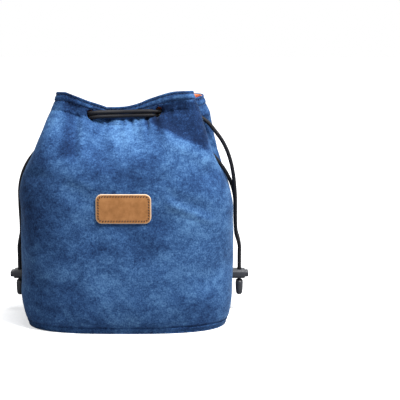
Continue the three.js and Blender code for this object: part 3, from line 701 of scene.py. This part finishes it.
def above_line(x, z, line):
    """Height over a slanting line on the front."""
    line_x, line_z, fall = line
    return z - line_z + fall * (x - line_x)


def front_slack(x, z, below_rim):
    """The hollow over a slanting fold on the right of the front, and the crease on its left."""
    under_casing = np.clip((below_rim - casing_head_drop) / (casing_foot_drop - casing_head_drop), 0, 1)
    hollow = rise_from(above_line(x, z, fold_line), hollow_start, hollow_rise) * window(x, hollow_span)
    beside = ease(1 - np.abs(x - crease_x) / crease_half_width)
    crease = beside * rise_from(z, crease_foot, crease_rise)
    return (hollow_depth * hollow + crease_depth * crease) * under_casing


def puckers(x, under):
    """Depth of the short creases that the drawn-in casing leaves below the cords."""
    depth = 0
    for middle, slant, width, deep, length in front_puckers:
        depth = depth + deep * bell(x - middle - slant * under, width) * ease(1 - under / length)
    return depth


def from_crossing(face, x):
    """Distance from the middle of the stretch where the cords cross outside the cloth."""
    return np.abs(x - sum(slits[face]) / 2)


def cord_crossing(face, places):
    """1 where the cords cross outside the cloth and draw it in, 0 away from there."""
    beside = from_crossing(face, places[:, 0])
    return fall_to(beside, crossing_end, crossing_fade) * outside(face, places)


def seam_lift(face, places):
    """How much higher the casing's seams run in the middle of the front, where the rim sags."""
    return seam_rise[face] * bell(places[:, 0] - seam_rise_x, seam_rise_width) * outside(face, places)


def slit_reach(x, below_rim, slit, drop):
    """Distance from the middle of a slit, as a share of the way to its edge."""
    return np.hypot((x - slit) / slit_half_width, (below_rim - drop) / slit_half_height)


def casing_relief(face, places, below_rim, below_seam):
    """The hem and the casing, drawn in at their rows of stitches and at the two slits."""
    relief = sum(ridge(below_rim, shape) for shape in rim_ridges) + ridge(below_seam, casing_groove)
    relief += ridge(below_seam, foot_groove) * cord_crossing(face, places)
    for slit, drop in zip(slits[face], slit_drops[face]):
        reach = slit_reach(places[:, 0], below_rim, slit, drop)
        relief += (ridge(reach, slit_groove) + ridge(reach, slit_roll)) * outside(face, places, slit_outside)
    return relief


def neck_relief(face, places, facing, below_seam):
    """The neck's cloth: pushed out between the slits, gathered under the casing and rolled over below it."""
    x = places[:, 0]
    under = np.clip(below_seam - casing_foot_line, 0, None)
    drawn_in = cord_crossing(face, places)
    pushed = fall_to(from_crossing(face, x), push_end, push_fade) * outside(face, places)
    relief = push_height * pushed * np.exp(-under / push_length)
    slope = rise_from(below_seam, casing_line + slope_start, slope_rise)
    slope = slope * np.exp(-np.clip(under - slope_start, 0, None) / slope_length)
    relief += slope_height * slope * (1 - drawn_in) * mix(0.3, 1, facing)
    wander = 0.9 * np.sin(x * 190 + 1.3 * face) + 0.7 * np.sin(x * 83 + 2.1)
    pleats = sum(
        part * np.cos(x * pitch + shift * wander + phase) for part, pitch, shift, phase in pleat_waves
    )
    past_foot = rise_from(below_seam, casing_foot_line - 0.001, 0.003)
    gather = mix(idle_pleats, np.exp(-under / pleat_length), past_foot)
    relief += pleat_height * pleats * gather * facing
    roll = ease(under / roll_rise) * bell(np.clip(under - roll_level, 0, None), roll_width)
    return relief + roll_height * roll * drawn_in


def front_relief(places, below_rim, under):
    """The front's own folds: puckers and a fan under the cords, a slanting fold with slack, and a dent."""
    x, z = places[:, 0], places[:, 2]
    fan = np.cos((x - fan_x - fan_slant * under) * fan_pitch) * bell(x - fan_middle, fan_width)
    fan = fan * np.exp(-under / fan_length) * ease(under / fan_start)
    fold = ridge(above_line(x, z, fold_line), fold_ridge) * window(x, fold_span)
    across = above_line(x, z, dent_line)
    dent = (ridge(across, dent_ridge) + ridge(across, dent_hollow)) * window(x, dent_span)
    slack = front_slack(x, z, below_rim) + puckers(x, under) * (under > 0)
    return (fan_height * fan + fold + dent - slack) * outside(-1, places, front_outside)


def settled_relief(face, places, run, below_rim):
    """Slow unevenness away from rim, foot and patch, and the grooves of the side and base seams."""
    z = places[:, 2]
    uneven = sum(height * value_noise(places, scale, seed + face) for scale, seed, height in unevenness)
    uneven = uneven * rise_from(below_rim, 0.020, 0.03) * ease(z / 0.02) * off_patch(face, places)
    seams = ridge(run, side_groove) * fall_to(z, 0.205, 0.02) + ridge(z, base_groove)
    return uneven + seams - base_tuck * fall_to(z, base_seam_height, 0.005)


def panel_relief(face, places, u, below_rim):
    """How far the cloth stands out at each place: hem, casing, gathers, creases and dents."""
    run = np.abs(2 * u - 1)
    below_seam = below_rim + seam_lift(face, places)
    relief = casing_relief(face, places, below_rim, below_seam)
    relief += neck_relief(face, places, fall_to(run, 0.62, 0.2), below_seam)
    if face < 0:
        relief += front_relief(places, below_rim, np.clip(below_seam - casing_foot_line, 0, None))
    return relief + settled_relief(face, places, run, below_rim)


# Painted shade and painted light on the cloth: darker where its seams, grooves, folds and creases and the
# cords' shadow fall, lighter where its bulges face the light. Middle, width and tone of each line; x, width,
# height, reach and tone of each spot.
hem_shade, casing_shade = (hem_line, 0.0012, -0.20), (casing_line, 0.0013, -0.22)
foot_shade, base_shade = (casing_foot_line, 0.0010, -0.14), (base_seam_height, 0.0015, -0.20)
side_shade, fold_painted_light, dent_painted_light = (1, 0.02, -0.25), (-0.009, 0.006, 0.24), (0, 0.006, 0.12)
band_shade, band_span = 0.30, (0.009, 0.002, 0.017, 0.001)
fold_shade, fold_shade_span = 0.57, (0.025, 0.008, 0.086, 0.010)
painted_light_spots = [(-0.002, 0.030, 0.193, 0.017, 0.24), (-0.062, 0.020, 0.208, 0.016, 0.22)]
pucker_shade, crease_shade, crease_shade_x, crease_shade_half_width = 150, 0.42, -0.052, 0.013
left_shade, left_shade_span = 0.20, (0.07, 0.05, 0.190, 0.02)
right_painted_light, right_painted_light_span = 0.10, (0.06, 0.05, 0.185, 0.02)
painted_shading_contrast = 1.15


def front_painted_shading(places, below_rim, under):
    """Painted shade in the front's puckers, its crease and the hollow over the slanting fold, and painted
    light on the ridges of the fold and the dent and on bulges that face the light.
    """
    x, z = places[:, 0], places[:, 2]
    over = above_line(x, z, fold_line)
    tone = -pucker_shade * puckers(x, under) * ease(under / 0.0015)
    dark = ease(over / 0.006 + 0.5) * window(x, fold_shade_span)
    tone -= fold_shade * dark * rise_from(below_rim, casing_line, 0.004)
    pale = ridge(over, fold_painted_light) + ridge(above_line(x, z, dent_line), dent_painted_light)
    tone += pale * rise_from(x, dent_span[0], dent_span[1])
    for middle, width, height, reach, strength in painted_light_spots:
        tone += strength * bell(x - middle, width) * bell(z - height, reach)
    beside = ease(1 - np.abs(x - crease_shade_x) / crease_shade_half_width)
    tone -= crease_shade * beside * rise_from(z, crease_foot, crease_rise)
    tone *= rise_from(-places[:, 1], front_outside, 0.008)
    # Painted shade down the left of the front and painted light on its right, as the light falls from the
    # right.
    tone -= left_shade * fall_to(x, -0.050, 0.03) * window(z, left_shade_span)
    return tone + right_painted_light * rise_from(x, 0.030, 0.03) * window(z, right_painted_light_span)


def painted_shading(face, places, u, below_rim):
    """Painted shading of the cloth: above 0 it is painted light where the cloth bulges towards the light,
    below 0 it is painted shade in the cloth's seams, grooves and creases and under the cords.
    """
    below_seam = below_rim + seam_lift(face, places)
    tone = ridge(below_rim, hem_shade) + ridge(below_seam, casing_shade)
    tone += ridge(np.abs(2 * u - 1), side_shade) + ridge(places[:, 2], base_shade)
    # Painted shade at the casing's foot, and the cords' painted shadow on the band below them.
    pressed = ridge(below_seam, foot_shade) - band_shade * window(below_seam, band_span)
    tone += pressed * cord_crossing(face, places)
    if face < 0:
        tone += front_painted_shading(places, below_rim, np.clip(below_seam - casing_foot_line, 0, None))
    return tone * painted_shading_contrast


def cloth_place(face, u, height_of, depth=0.0):
    """Places at a depth under the finished cloth, at shares u along a panel."""
    plain = wall_point(face, u, height_of)
    rim = rim_of(face, u)
    up = np.interp((plain[:, 2] - panel_foot) / (rim - panel_foot), row_heights, row_shares)
    relief = panel_relief(face, plain, u, rim - plain[:, 2])
    inward = wall_inward(face, u, height_of)
    return plain + swelling(face, u, up) + inward * (depth - relief)[:, None]


def open_slits(piece, face, u):
    """Cuts the slits that the cords pass through and evens their edges."""
    places = vertex_places(piece)
    below = rim_of(face, u) - places[:, 2]
    outer = outside(face, places, slit_outside)
    reaches = [
        np.where(outer, slit_reach(places[:, 0], below, slit, drop), slit_out_of_reach)
        for slit, drop in zip(slits[face], slit_drops[face])
    ]
    bpy.ops.object.select_all(action="DESELECT")
    bpy.context.view_layer.objects.active = piece
    bpy.ops.object.mode_set(mode="EDIT")
    bpy.ops.mesh.select_mode(type="VERT")
    bpy.ops.mesh.select_all(action="DESELECT")
    bpy.ops.object.mode_set(mode="OBJECT")
    gone = np.min(reaches, axis=0) < 1
    piece.data.vertices.foreach_set("select", gone)
    bpy.ops.object.mode_set(mode="EDIT")
    bpy.ops.mesh.delete(type="VERT")
    bpy.ops.object.mode_set(mode="OBJECT")
    mesh = piece.data
    used = np.empty(len(mesh.loops), int)
    mesh.loops.foreach_get("edge_index", used)
    ends = np.empty(len(mesh.edges) * 2, int)
    mesh.edges.foreach_get("vertices", ends)
    open_edge = np.bincount(used, minlength=len(mesh.edges)) == 1
    border = np.zeros(len(mesh.vertices), bool)
    border[ends.reshape(-1, 2)[open_edge].ravel()] = True
    places = vertex_places(piece)
    for slit, drop, reach in zip(slits[face], slit_drops[face], reaches):
        reach = reach[~gone]
        edge = border & (reach < slit_edge_reach)
        middle_z = (places[:, 2] + below[~gone] - drop)[edge]
        places[edge, 0] = slit + (places[edge, 0] - slit) / reach[edge]
        places[edge, 2] = middle_z + (places[edge, 2] - middle_z) / reach[edge]
    move_vertices(piece, places)


def cloth_material():
    """Brushed blue cloth: cloudy nap at five scales, made darker by the panel's painted shade and paler by
    its painted light.
    """
    material, tree, shader, spot = material_tree("napped_cloth", {
        "Roughness": 0.95, "Specular IOR Level": 0.12, "Sheen Weight": 0.22, "Sheen Roughness": 0.35,
        "Sheen Tint": (0.45, 0.68, 1.0, 1),
    })
    lie = add_node(tree, "Mapping", {"Vector": spot}, Rotation=(0, 0.5, 0), Scale=(0.85, 1.0, 1.2))
    brushed = lie.outputs["Vector"]
    clouds = add_noise(tree, brushed, 17, 3, 0.6, 0.5)
    patches = add_noise(tree, brushed, 46, 4, 0.62, 0.8)
    strokes = add_noise(tree, brushed, 190, 4, 0.65, 0.4)
    grain = add_noise(tree, spot, 620, 4, 0.8)
    nap = add_noise(tree, spot, 3200, 2, 0.6)
    # Painted shade and painted light, read from the panel's vertices.
    painted_shading_mark = add_node(tree, "Attribute", None, {"attribute_name": "painted_shading"})
    shade = add_math(tree, "MULTIPLY_ADD", grain, 2.0, strokes)
    for layer in (patches, clouds, painted_shading_mark.outputs["Fac"]):
        shade = add_math(tree, "ADD", shade, layer)
    level = add_node(tree, "MapRange", {"Value": shade}, None, **{"From Min": 1.53, "From Max": 3.10})
    blues = [
        (0.0, (0.004, 0.012, 0.042)), (0.25, (0.008, 0.023, 0.072)), (0.40, (0.015, 0.043, 0.128)),
        (0.65, (0.037, 0.099, 0.246)), (1.0, (0.114, 0.254, 0.484)),
    ]
    tree.links.new(add_ramp(tree, level.outputs[0], blues), shader.inputs["Base Color"])
    add_bumps(tree, shader, [(grain, 0.35, 0.0006), (nap, 0.4, 0.0002)])
    return material


sewn_below_rim, sewn_beside_seam, sewn_at_foot = 0.022, 0.93, 0.03
cloth_thickness = 0.0012


def padded_panel(face, name):
    """One face of the pouch: swollen by the simulation, then given its folds, slits and thickness."""
    def plain_places(u, v):
        return wall_point(face, u, rows_from(panel_foot, v))

    panel = shaped_grid(name, panel_columns, panel_rows, plain_places)
    u, v = panel_values(panel)
    start = vertex_places(panel)
    moved = np.zeros_like(start)
    sewn = (rim_of(face, u) - start[:, 2] < sewn_below_rim) | (np.abs(2 * u - 1) > sewn_beside_seam)
    sewn = sewn | (v < sewn_at_foot) | (off_patch(face, start) == 0)
    moved = puff(panel, sewn, 5 + face)
    field = np.zeros((panel_rows + 1, panel_columns + 1, 3))
    field[np.rint(v * panel_rows).astype(int), np.rint(u * panel_columns).astype(int)] = moved
    settled[face] = calmed(field, 6)
    finer = panel.modifiers.new("finer", "SUBSURF")
    finer.levels = finer.render_levels = 1
    apply_modifiers(panel)
    u, v = panel_values(panel)
    plain = plain_places(u, v)
    # Painted shade and painted light of the cloth, kept on the vertices for its material.
    tone = panel.data.attributes.new("painted_shading", "FLOAT", "POINT")
    tone.data.foreach_set("value", painted_shading(face, plain, u, rim_of(face, u) - plain[:, 2]))
    move_vertices(panel, cloth_place(face, u, rows_from(panel_foot, v)))
    open_slits(panel, face, u)
    thicken(panel, cloth_thickness)
    apply_modifiers(panel)
    bpy.ops.object.shade_smooth()
    return panel


cloth_blue = cloth_material()
for face, name in ((-1, "front"), (1, "back")):
    panel = padded_panel(face, name + "_padded_panel")
    dress(panel, cloth_blue, "pouch", name + "_panel")


# Foam and lining. Behind the cloth of each face lies 5 mm of soft foam up to the casing's foot, and
# over that a plush lining up to the hem. Both are sewn in with the cloth at the side and base seams.
padding_depth, padding_thickness = 0.0018, 0.0046
lining_depth, hem_lining_depth, lining_thickness = 0.0072, 0.0016, 0.0011
padding_drop, lining_drop, layer_foot = casing_foot_drop + 0.005, 0.0010, 0.0075


def wall_layer(name, face, depth_of, drop, thickness, rows, pleat_share=1.0):
    """A layer of the wall at a depth under the cloth, pressed to a share of its thickness in the pleats."""
    def place(u, v):
        height_of = rows_from(layer_foot, v, drop)
        rim = rim_of(face, u)
        return cloth_place(face, u, height_of, depth_of(rim - height_of(rim)))

    piece = shaped_grid(name, 200, rows, place)
    u, v = panel_values(piece)
    pleated = rise_from(np.abs(2 * u - 1), 0.46, 0.08) * rise_from(vertex_places(piece)[:, 2], 0.145, 0.025)
    full = piece.vertex_groups.new(name="full")
    for index, share in enumerate(1 - pleated):
        full.add([index], share, "REPLACE")
    solid = thicken(piece, thickness)
    solid.vertex_group = full.name
    solid.thickness_vertex_group = pleat_share
    apply_modifiers(piece)
    bpy.ops.object.shade_smooth()
    return piece


def lining_depth_at(below_rim):
    """Depth of the lining's outside: it comes up to the cloth at the hem."""
    return mix(hem_lining_depth, lining_depth, rise_from(below_rim, 0.004, 0.004))


whites = [(0.3, (0.55, 0.54, 0.5)), (0.7, (0.72, 0.71, 0.67))]
foam_white = grained_material("foam", {"Roughness": 0.9}, [(1500, 2)], whites, [(0.4, 0.0004)])
oranges = [(0.25, (0.40, 0.095, 0.035)), (0.55, (0.66, 0.19, 0.075)), (0.8, (0.85, 0.36, 0.18))]
plush_looks = {"Roughness": 0.95, "Sheen Weight": 0.5, "Sheen Tint": (1.0, 0.62, 0.45, 1)}
plush_orange = grained_material(
    "plush_lining", plush_looks, [(420, 3, 0.6), (2200, 2)], oranges, [(0.6, 0.0012), (0.4, 0.0003)]
)
for face, name in ((-1, "front"), (1, "back")):
    foam = wall_layer(
        name + "_foam", face, lambda below: 0 * below + padding_depth, padding_drop,
        padding_thickness, 110, 0.3,
    )
    dress(foam, foam_white, "pouch", name + "_padding")
    lining = wall_layer(name + "_plush", face, lining_depth_at, lining_drop, lining_thickness, 130)
    dress(lining, plush_orange, "pouch", name + "_lining")


# Base. A flat plate of the same cloth is sewn in at the foot of the wall, with a plate of foam and one
# of lining on top of it.
def base_plate(name, half_width, half_depth, foot, thickness, edge):
    """A plate with the pouch's outline in plan and rounded edges."""
    around = 128
    bpy.ops.mesh.primitive_circle_add(vertices=around, radius=1, fill_type="NGON")
    plate = bpy.context.object
    plate.name = plate.data.name = name
    spread = np.arange(around) / around * 4
    quarter = spread.astype(int)
    share = np.where(quarter % 2 == 0, 1 - spread % 1, spread % 1)
    x, y = body_plan(share, half_width, half_depth)
    side = np.where((quarter == 0) | (quarter == 3), 1, -1)
    front = np.where(quarter < 2, 1, -1)
    move_vertices(plate, np.stack([side * x, front * y, 0 * x + foot], axis=1))
    bpy.ops.object.mode_set(mode="EDIT")
    bpy.ops.mesh.select_all(action="SELECT")
    bpy.ops.mesh.extrude_region_move(TRANSFORM_OT_translate={"value": (0, 0, thickness)})
    turn_outwards()
    soft = plate.modifiers.new("edge", "BEVEL")
    soft.width = edge
    soft.segments = 4
    soft.limit_method = "ANGLE"
    apply_modifiers(plate)
    bpy.ops.object.shade_smooth_by_angle(angle=math.radians(40))
    return plate


# Piece, node, slot, material, how far in from the outline, foot, thickness, edge.
base_pieces = [
    ("base_cloth", "base_panel", "shell", cloth_blue, 0.0, 0.0, 0.0015, 0.0007),
    ("base_foam", "base_padding", "padding", foam_white, 0.002, 0.0019, 0.0048, 0.0015),
    ("base_plush", "base_lining", "lining", plush_orange, 0.0078, 0.0071, 0.0012, 0.0005),
]
for name, node, slot, cloth, inset, foot, thickness, edge in base_pieces:
    plate = base_plate(name, base_half_width - inset, base_half_depth - inset, foot, thickness, edge)
    dress(plate, cloth, "pouch", node)


# Held drawcords. Two woven cords run in the casing, cross the front and the back outside it between
# two slits, and each leaves the mouth on its own side.
cord_depth, cord_outside, cord_rise, cord_closing = 0.0035, -0.0023, 0.0022, 0.90
cord_ends = {-1: (-0.0350, 0.0285), 1: (-0.036, 0.036)}
cord_level = {-1: (0.0005, 0.0), 1: (0.0, 0.0)}
cord_dip_x, cord_dip_width, cord_dip = 0.0365, 0.0095, {-1: 0.0052, 1: 0.0}
cord_bow, crossed_margin, bare_margin = 0.0025, 0.0045, 0.0035
strand_apart, seam_point_x = 0.0022, 0.0315
exit_reach, exit_turn_radius, exit_turn_middle = 0.0433, 0.00315, (0.0403, 0.00535)
exit_x, exit_clear_x, exit_clear_y, seam_clear_y = 0.03, 0.0435, 0.012, 0.002


def casing_run(face, rise):
    """The cord's run through one panel, from the left seam on the front or the right on the back."""
    u = np.linspace(0.001, 0.999, 421)
    x = wall_point(face, u, lambda rim: rim - slit_height_drop)[:, 0]
    drop = slit_height_drop + cord_dip[face] * bell(x - cord_dip_x, cord_dip_width)

    def height_of(rim):
        return rim - drop + rise

    def close_height_of(rim):
        return rim - drop + rise * cord_closing

    inside = cloth_place(face, u, height_of, cord_depth)
    outward = wall_inward(face, u, close_height_of) * cord_outside
    outer = wall_point(face, u, close_height_of) + outward
    left, right = cord_ends[face]
    facing = inside[:, 1] * face > 0.008
    crossed = facing & (inside[:, 0] > left - crossed_margin) & (inside[:, 0] < right + crossed_margin)
    bare = facing & (outer[:, 0] > left + bare_margin) & (outer[:, 0] < right - bare_margin)
    from_slit, to_slit = np.flatnonzero(crossed)[[0, -1]]
    first, last = outer[np.flatnonzero(bare)[[0, -1]]]
    first, last = first + (0, 0, cord_level[face][0]), last + (0, 0, cord_level[face][1])
    across = np.array([first, (first + last) / 2 - (0, face * cord_bow, 0), last])
    return np.vstack([inside[:from_slit][::-6][::-1], across, inside[to_slit + 1:][::6]])


def exit_turn(side, face):
    """The half turn by which a cord leaves the casing for the outside of the side fold."""
    angle = np.linspace(0, math.pi, 5)
    x = exit_turn_middle[0] - exit_turn_radius * np.sin(angle)
    y = exit_turn_middle[1] - exit_turn_radius * np.cos(angle)
    x, y = np.append(exit_reach, x), np.append(strand_apart, y)
    return np.stack([side * x, face * y, 0 * x], axis=1)


def clear_of_exit(points, side):
    """The points of a run that lie outside the place where the cord turns out of the casing."""
    x, y = points[:, 0], np.abs(points[:, 1])
    clear = (x * side < exit_x) | (np.abs(x) > exit_clear_x) | (y > exit_clear_y)
    return points[clear & (y > seam_clear_y)]


for side, name in ((-1, "left"), (1, "right")):
    rise = -side * cord_rise
    height = (0, 0, rim_seam_height[side] - slit_height_drop + rise)
    far_seam = np.array([[-side * seam_point_x, 0, rim_seam_height[-side] - slit_height_drop + rise]])
    route = np.vstack([
        exit_turn(side, side) + height, clear_of_exit(casing_run(side, rise), side), far_seam,
        clear_of_exit(casing_run(-side, rise), side), exit_turn(side, -side)[::-1] + height,
    ])
    held = woven_cord(name + "_drawcord_woven", smooth_route(route, 0.0006), cord_diameter)
    dress(held, cord_cloth, "pouch", name + "_drawcord")


# Leather patch. A rounded oblong of tan leather with pale cut edges, 1.6 mm thick and without lettering, is
# sewn to the front all round with slanting stitches of dark thread. The thread's near-black colour also
# serves as painted shade for the stitch holes.
patch_thickness, patch_solid_thickness, patch_lift, patch_corner = 0.0016, 0.0015, 0.0003, 0.0061
seam_inset, stitch_pitch, stitch_half_run, stitch_slant = 0.0024, 0.00265, 0.28, 0.00075
groove_depth, groove_width, edge_round, edge_round_width = 0.00015, 0.0007, 0.0007, 0.0009


def on_front(x, z, lift):
    """Places on the front wall at chosen x and z, lifted towards the viewer."""
    low, high = np.full(x.shape, 0.2), np.full(x.shape, 0.8)
    for _ in range(24):
        u = (low + high) / 2
        short = wall_point(-1, u, lambda rim: z)[:, 0] < x
        low, high = np.where(short, u, low), np.where(short, high, u)
    return wall_point(-1, u, lambda rim: z) - np.stack([0 * x, lift + 0 * x, 0 * x], axis=1)


def in_rounded_oblong(u, v):
    """Spreads a square grid over the patch's rounded outline; gives x, z and the way in from the edge."""
    x, z = (2 * u - 1) * patch_half_width, (2 * v - 1) * patch_half_height
    a = np.clip((np.abs(x) - patch_half_width + patch_corner) / patch_corner, 0, 1)
    b = np.clip((np.abs(z) - patch_half_height + patch_corner) / patch_corner, 0, 1)
    p, q = a * np.sqrt(1 - b**2 / 2), b * np.sqrt(1 - a**2 / 2)
    x = np.where(a > 0, np.sign(x) * (patch_half_width - patch_corner * (1 - p)), x)
    z = np.where(b > 0, np.sign(z) * (patch_half_height - patch_corner * (1 - q)), z)
    edge = patch_corner * (1 - np.hypot(p, q))
    return x, z, edge


def patch_place(u, v):
    """Places on the patch's face: rounded over at the edge and drawn in along the seam."""
    x, z, edge = in_rounded_oblong(u, v)
    into_edge = np.clip(1 - edge / edge_round_width, 0, 1)
    round_over = edge_round * (1 - np.sqrt(1 - into_edge**2))
    groove = groove_depth * bell(edge - seam_inset, groove_width)
    return on_front(x, z + patch_middle, patch_lift + patch_thickness - round_over - groove)


def leather_material():
    """Tan leather, cloudy and with fine pores, pale at its cut edge."""
    looks = {"Roughness": 0.6, "Specular IOR Level": 0.35}
    material, tree, shader, spot = material_tree("tan_leather", looks)
    cloudy = add_noise(tree, spot, 160, 4, 0.6)
    pores = add_noise(tree, spot, 1900, 3, 0.6)
    tans = [(0.3, (0.300, 0.126, 0.036)), (0.5, (0.385, 0.165, 0.051)), (0.7, (0.460, 0.208, 0.071))]
    edge_mark = add_node(tree, "Attribute", None, {"attribute_name": "pale_edge"})
    toned = add_node(tree, "MixRGB", {0: edge_mark.outputs["Fac"], 1: add_ramp(tree, cloudy, tans)})
    toned.inputs[2].default_value = (0.86, 0.66, 0.46, 1)
    tree.links.new(toned.outputs[0], shader.inputs["Base Color"])
    add_bumps(tree, shader, [(pores, 0.35, 0.0002), (cloudy, 0.2, 0.0004)])
    return material


def leather_patch():
    """The patch, with its cut edge marked pale for the material."""
    piece = shaped_grid("patch_leather", 140, 76, patch_place)
    edge = in_rounded_oblong(*panel_values(piece))[2]
    pale = piece.data.attributes.new("pale_edge", "FLOAT", "POINT")
    pale.data.foreach_set("value", np.clip(1 - (edge - 0.0002) / 0.0007, 0, 1))
    thicken(piece, patch_solid_thickness)
    apply_modifiers(piece)
    bpy.ops.object.shade_smooth_by_angle(angle=math.radians(50))
    return piece


def seam_ring():
    """The closed line of the patch's seam, as points of x and z from the patch's middle."""
    half_width, half_height = patch_half_width - seam_inset, patch_half_height - seam_inset
    radius = patch_corner - seam_inset
    ring = []
    for quarter, (right, up) in enumerate(((1, 1), (-1, 1), (-1, -1), (1, -1))):
        for angle in np.linspace(0, math.pi / 2, 9) + quarter * math.pi / 2:
            ring.append((
                right * (half_width - radius) + radius * math.cos(angle),
                up * (half_height - radius) + radius * math.sin(angle),
            ))
    return np.array(ring + ring[:1])


def patch_stitches():
    """Slanting stitches round the patch, each from inside the seam's line to outside it."""
    ring = seam_ring()
    around = run_along(ring)[-1]
    count = round(around / stitch_pitch)
    middles = (np.arange(count) + 0.5) / count * around
    ends = []
    for way in (-1, 1):
        at = (middles + way * stitch_half_run * stitch_pitch) % around
        x, z = points_at(ring, at).T
        run_x, run_z = (points_at(ring, (at + 0.0004) % around) - points_at(ring, at)).T
        aside = way * stitch_slant / np.hypot(run_x, run_z)
        lift = patch_lift + patch_thickness - 0.0002
        ends.append(on_front(x - run_z * aside, z + run_x * aside + patch_middle, lift))
    return thread_stitches("patch_stitches", *ends, 0.0011)


patch = leather_patch()
dress(patch, leather_material(), "pouch", "leather_patch")
patch_thread = patch_stitches()
# Dark thread, made darker to also paint the shade in the stitch holes.
thread_and_hole_shade = material_tree("stitch_thread_and_hole_shade", {"Base Color": (0.045, 0.016, 0.006, 1), "Roughness": 0.55})[0]
dress(patch_thread, thread_and_hole_shade, "pouch")


# Topstitching. Two rows of blue thread run round the mouth through the cloth: one holds the hem, the
# other the head of the casing. The stitches of both rows on a face are one piece.
rim_stitch_pitch, rim_stitch_start, rim_stitch_end, rim_thread = 0.0034, 0.15, 0.85, 0.00055


def stitch_row(face, drop, follows_seam):
    """Starts and ends of the stitches in one row, at a drop below the rim or below the lifted seam."""
    u = np.linspace(0.02, 0.98, 900)
    lift = seam_lift(face, wall_point(face, u, lambda rim: rim - drop)) * follows_seam
    line = cloth_place(face, u, lambda rim: rim - drop + lift, -0.0001)
    length = run_along(line)[-1]
    count = int(length / rim_stitch_pitch)
    return [
        points_at(line, (np.arange(count) + share) / count * length)
        for share in (rim_stitch_start, rim_stitch_end)
    ]


blue_looks = {"Base Color": (0.030, 0.068, 0.170, 1), "Roughness": 0.6}
thread_blue = material_tree("blue_thread", blue_looks)[0]
for face, name in ((-1, "front"), (1, "back")):
    rows = [stitch_row(face, hem_line, False), stitch_row(face, casing_line, True)]
    starts, ends = (np.vstack(places) for places in zip(*rows))
    row = thread_stitches(name + "_rim_stitches", starts, ends, rim_thread)
    dress(row, thread_blue, "pouch")


# Cord locks and cord ends. Both are moulded charcoal plastic and keep their solids' shapes. A lock's
# button is held out by a steel coil spring, and a knot sits in each cord end.
charcoals = [(0.3, (0.028, 0.030, 0.036)), (0.7, (0.045, 0.048, 0.056))]
plastic_charcoal = grained_material(
    "charcoal_plastic", {"Roughness": 0.42}, [(2500, 2)], charcoals, [(0.15, 0.0001)]
)
steel_looks = {"Base Color": (0.5, 0.5, 0.52, 1), "Metallic": 1.0, "Roughness": 0.35}
steel_grey = material_tree("spring_steel", steel_looks)[0]
spring_wire, spring_turns, spring_room, button_travel = 0.0006, 4, 0.0003, 0.0018


def coil_spring(side):
    """A fixed coil in the place of the spring's solid; in the lock, the spring is squashed from its seat when
    its button goes in.
    """
    low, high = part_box(side + "_lock_spring")
    middle = (low + high) / 2
    share = np.linspace(0, 1, 161)
    angle = share * spring_turns * math.tau
    coil_radius = (high.z - low.z - spring_wire) / 2
    coil = np.stack([
        low.x + spring_wire / 2 + share * (high.x - low.x - spring_wire),
        middle.y + coil_radius * np.cos(angle),
        middle.z + coil_radius * np.sin(angle),
    ], axis=1)
    spring = woven_cord(side + "_spring_coil", coil, spring_wire, 10, 0)
    dress(spring, steel_grey, side + "_lock", side + "_lock_spring")
    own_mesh(spring)
    return spring


for side in ("left", "right"):
    for part in ("lock_body", "lock_plunger", "cord_end"):
        wear(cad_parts[side + "_" + part], plastic_charcoal)
    wear(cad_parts[side + "_cord_knot"], cord_cloth)

springs = {side: coil_spring(side) for side in ("left", "right")}
for name, (strand, line) in strands.items():
    side = name.split("_")[0]


# Stage. A pale floor that fades to the white of the backdrop, under soft light from above and from
# the right. The camera sees floor and backdrop brighter than they light the pouch.
def floor_material():
    """Pale grey to the camera, glowing towards white away from the pouch, and dim to other rays."""
    material = bpy.data.materials.new("floor_white")
    material.use_nodes = True
    tree = material.node_tree
    tree.nodes.clear()
    pale = add_node(tree, "BsdfDiffuse", Color=(0.9, 0.9, 0.9, 1))
    spot = add_node(tree, "TexCoord").outputs["Object"]
    away = add_node(tree, "VectorMath", {0: spot}, {"operation": "LENGTH"}).outputs["Value"]
    fading = {"From Min": 0.3, "From Max": 1.1, "To Min": 0.58}
    brighter = add_node(tree, "MapRange", {"Value": away}, None, **fading)
    glow = add_node(tree, "Emission", {"Strength": brighter.outputs[0]}, Color=(1, 1, 1, 1))
    both = add_node(tree, "AddShader", {0: pale.outputs[0], 1: glow.outputs[0]})
    dim = add_node(tree, "BsdfDiffuse", Color=(0.35, 0.35, 0.36, 1))
    to_camera = add_node(tree, "LightPath").outputs["Is Camera Ray"]
    seen = add_node(tree, "MixShader", {0: to_camera, 1: dim.outputs[0], 2: both.outputs[0]})
    add_node(tree, "OutputMaterial", {"Surface": seen.outputs[0]})
    return material


bpy.ops.mesh.primitive_plane_add(size=8, location=(0, 0, 0))
floor = bpy.context.object
floor.name = "floor"
wear(floor, floor_material())

world = bpy.data.worlds.new("studio")
scene.world = world
world.use_nodes = True
tree = world.node_tree
tree.nodes.clear()
fill = add_node(tree, "Background", Color=(0.93, 0.96, 1.0, 1), Strength=0.3)
white = add_node(tree, "Background", Color=(1, 1, 1, 1), Strength=1.0)
rays = add_node(tree, "LightPath").outputs
seen = add_math(tree, "MAXIMUM", rays["Is Camera Ray"], rays["Is Glossy Ray"])
sky = add_node(tree, "MixShader", {0: seen, 1: fill.outputs[0], 2: white.outputs[0]})
add_node(tree, "OutputWorld", {"Surface": sky.outputs[0]})


def add_softbox(name, place, aim, size, power):
    """A round area lamp at a place, turned to its aim."""
    bpy.ops.object.light_add(type="AREA", location=place)
    lamp = bpy.context.object
    lamp.name = name
    lamp.data.shape = "DISK"
    lamp.data.size = size
    lamp.data.energy = power
    lamp.rotation_euler = (Vector(aim) - Vector(place)).to_track_quat("-Z", "Y").to_euler()


add_softbox("key_light", (0.66, -0.6, 1.42), (0, 0, 0.14), 0.4, 38)
add_softbox("top_light", (0.1, -0.15, 1.5), (0, 0, 0.14), 0.5, 10)
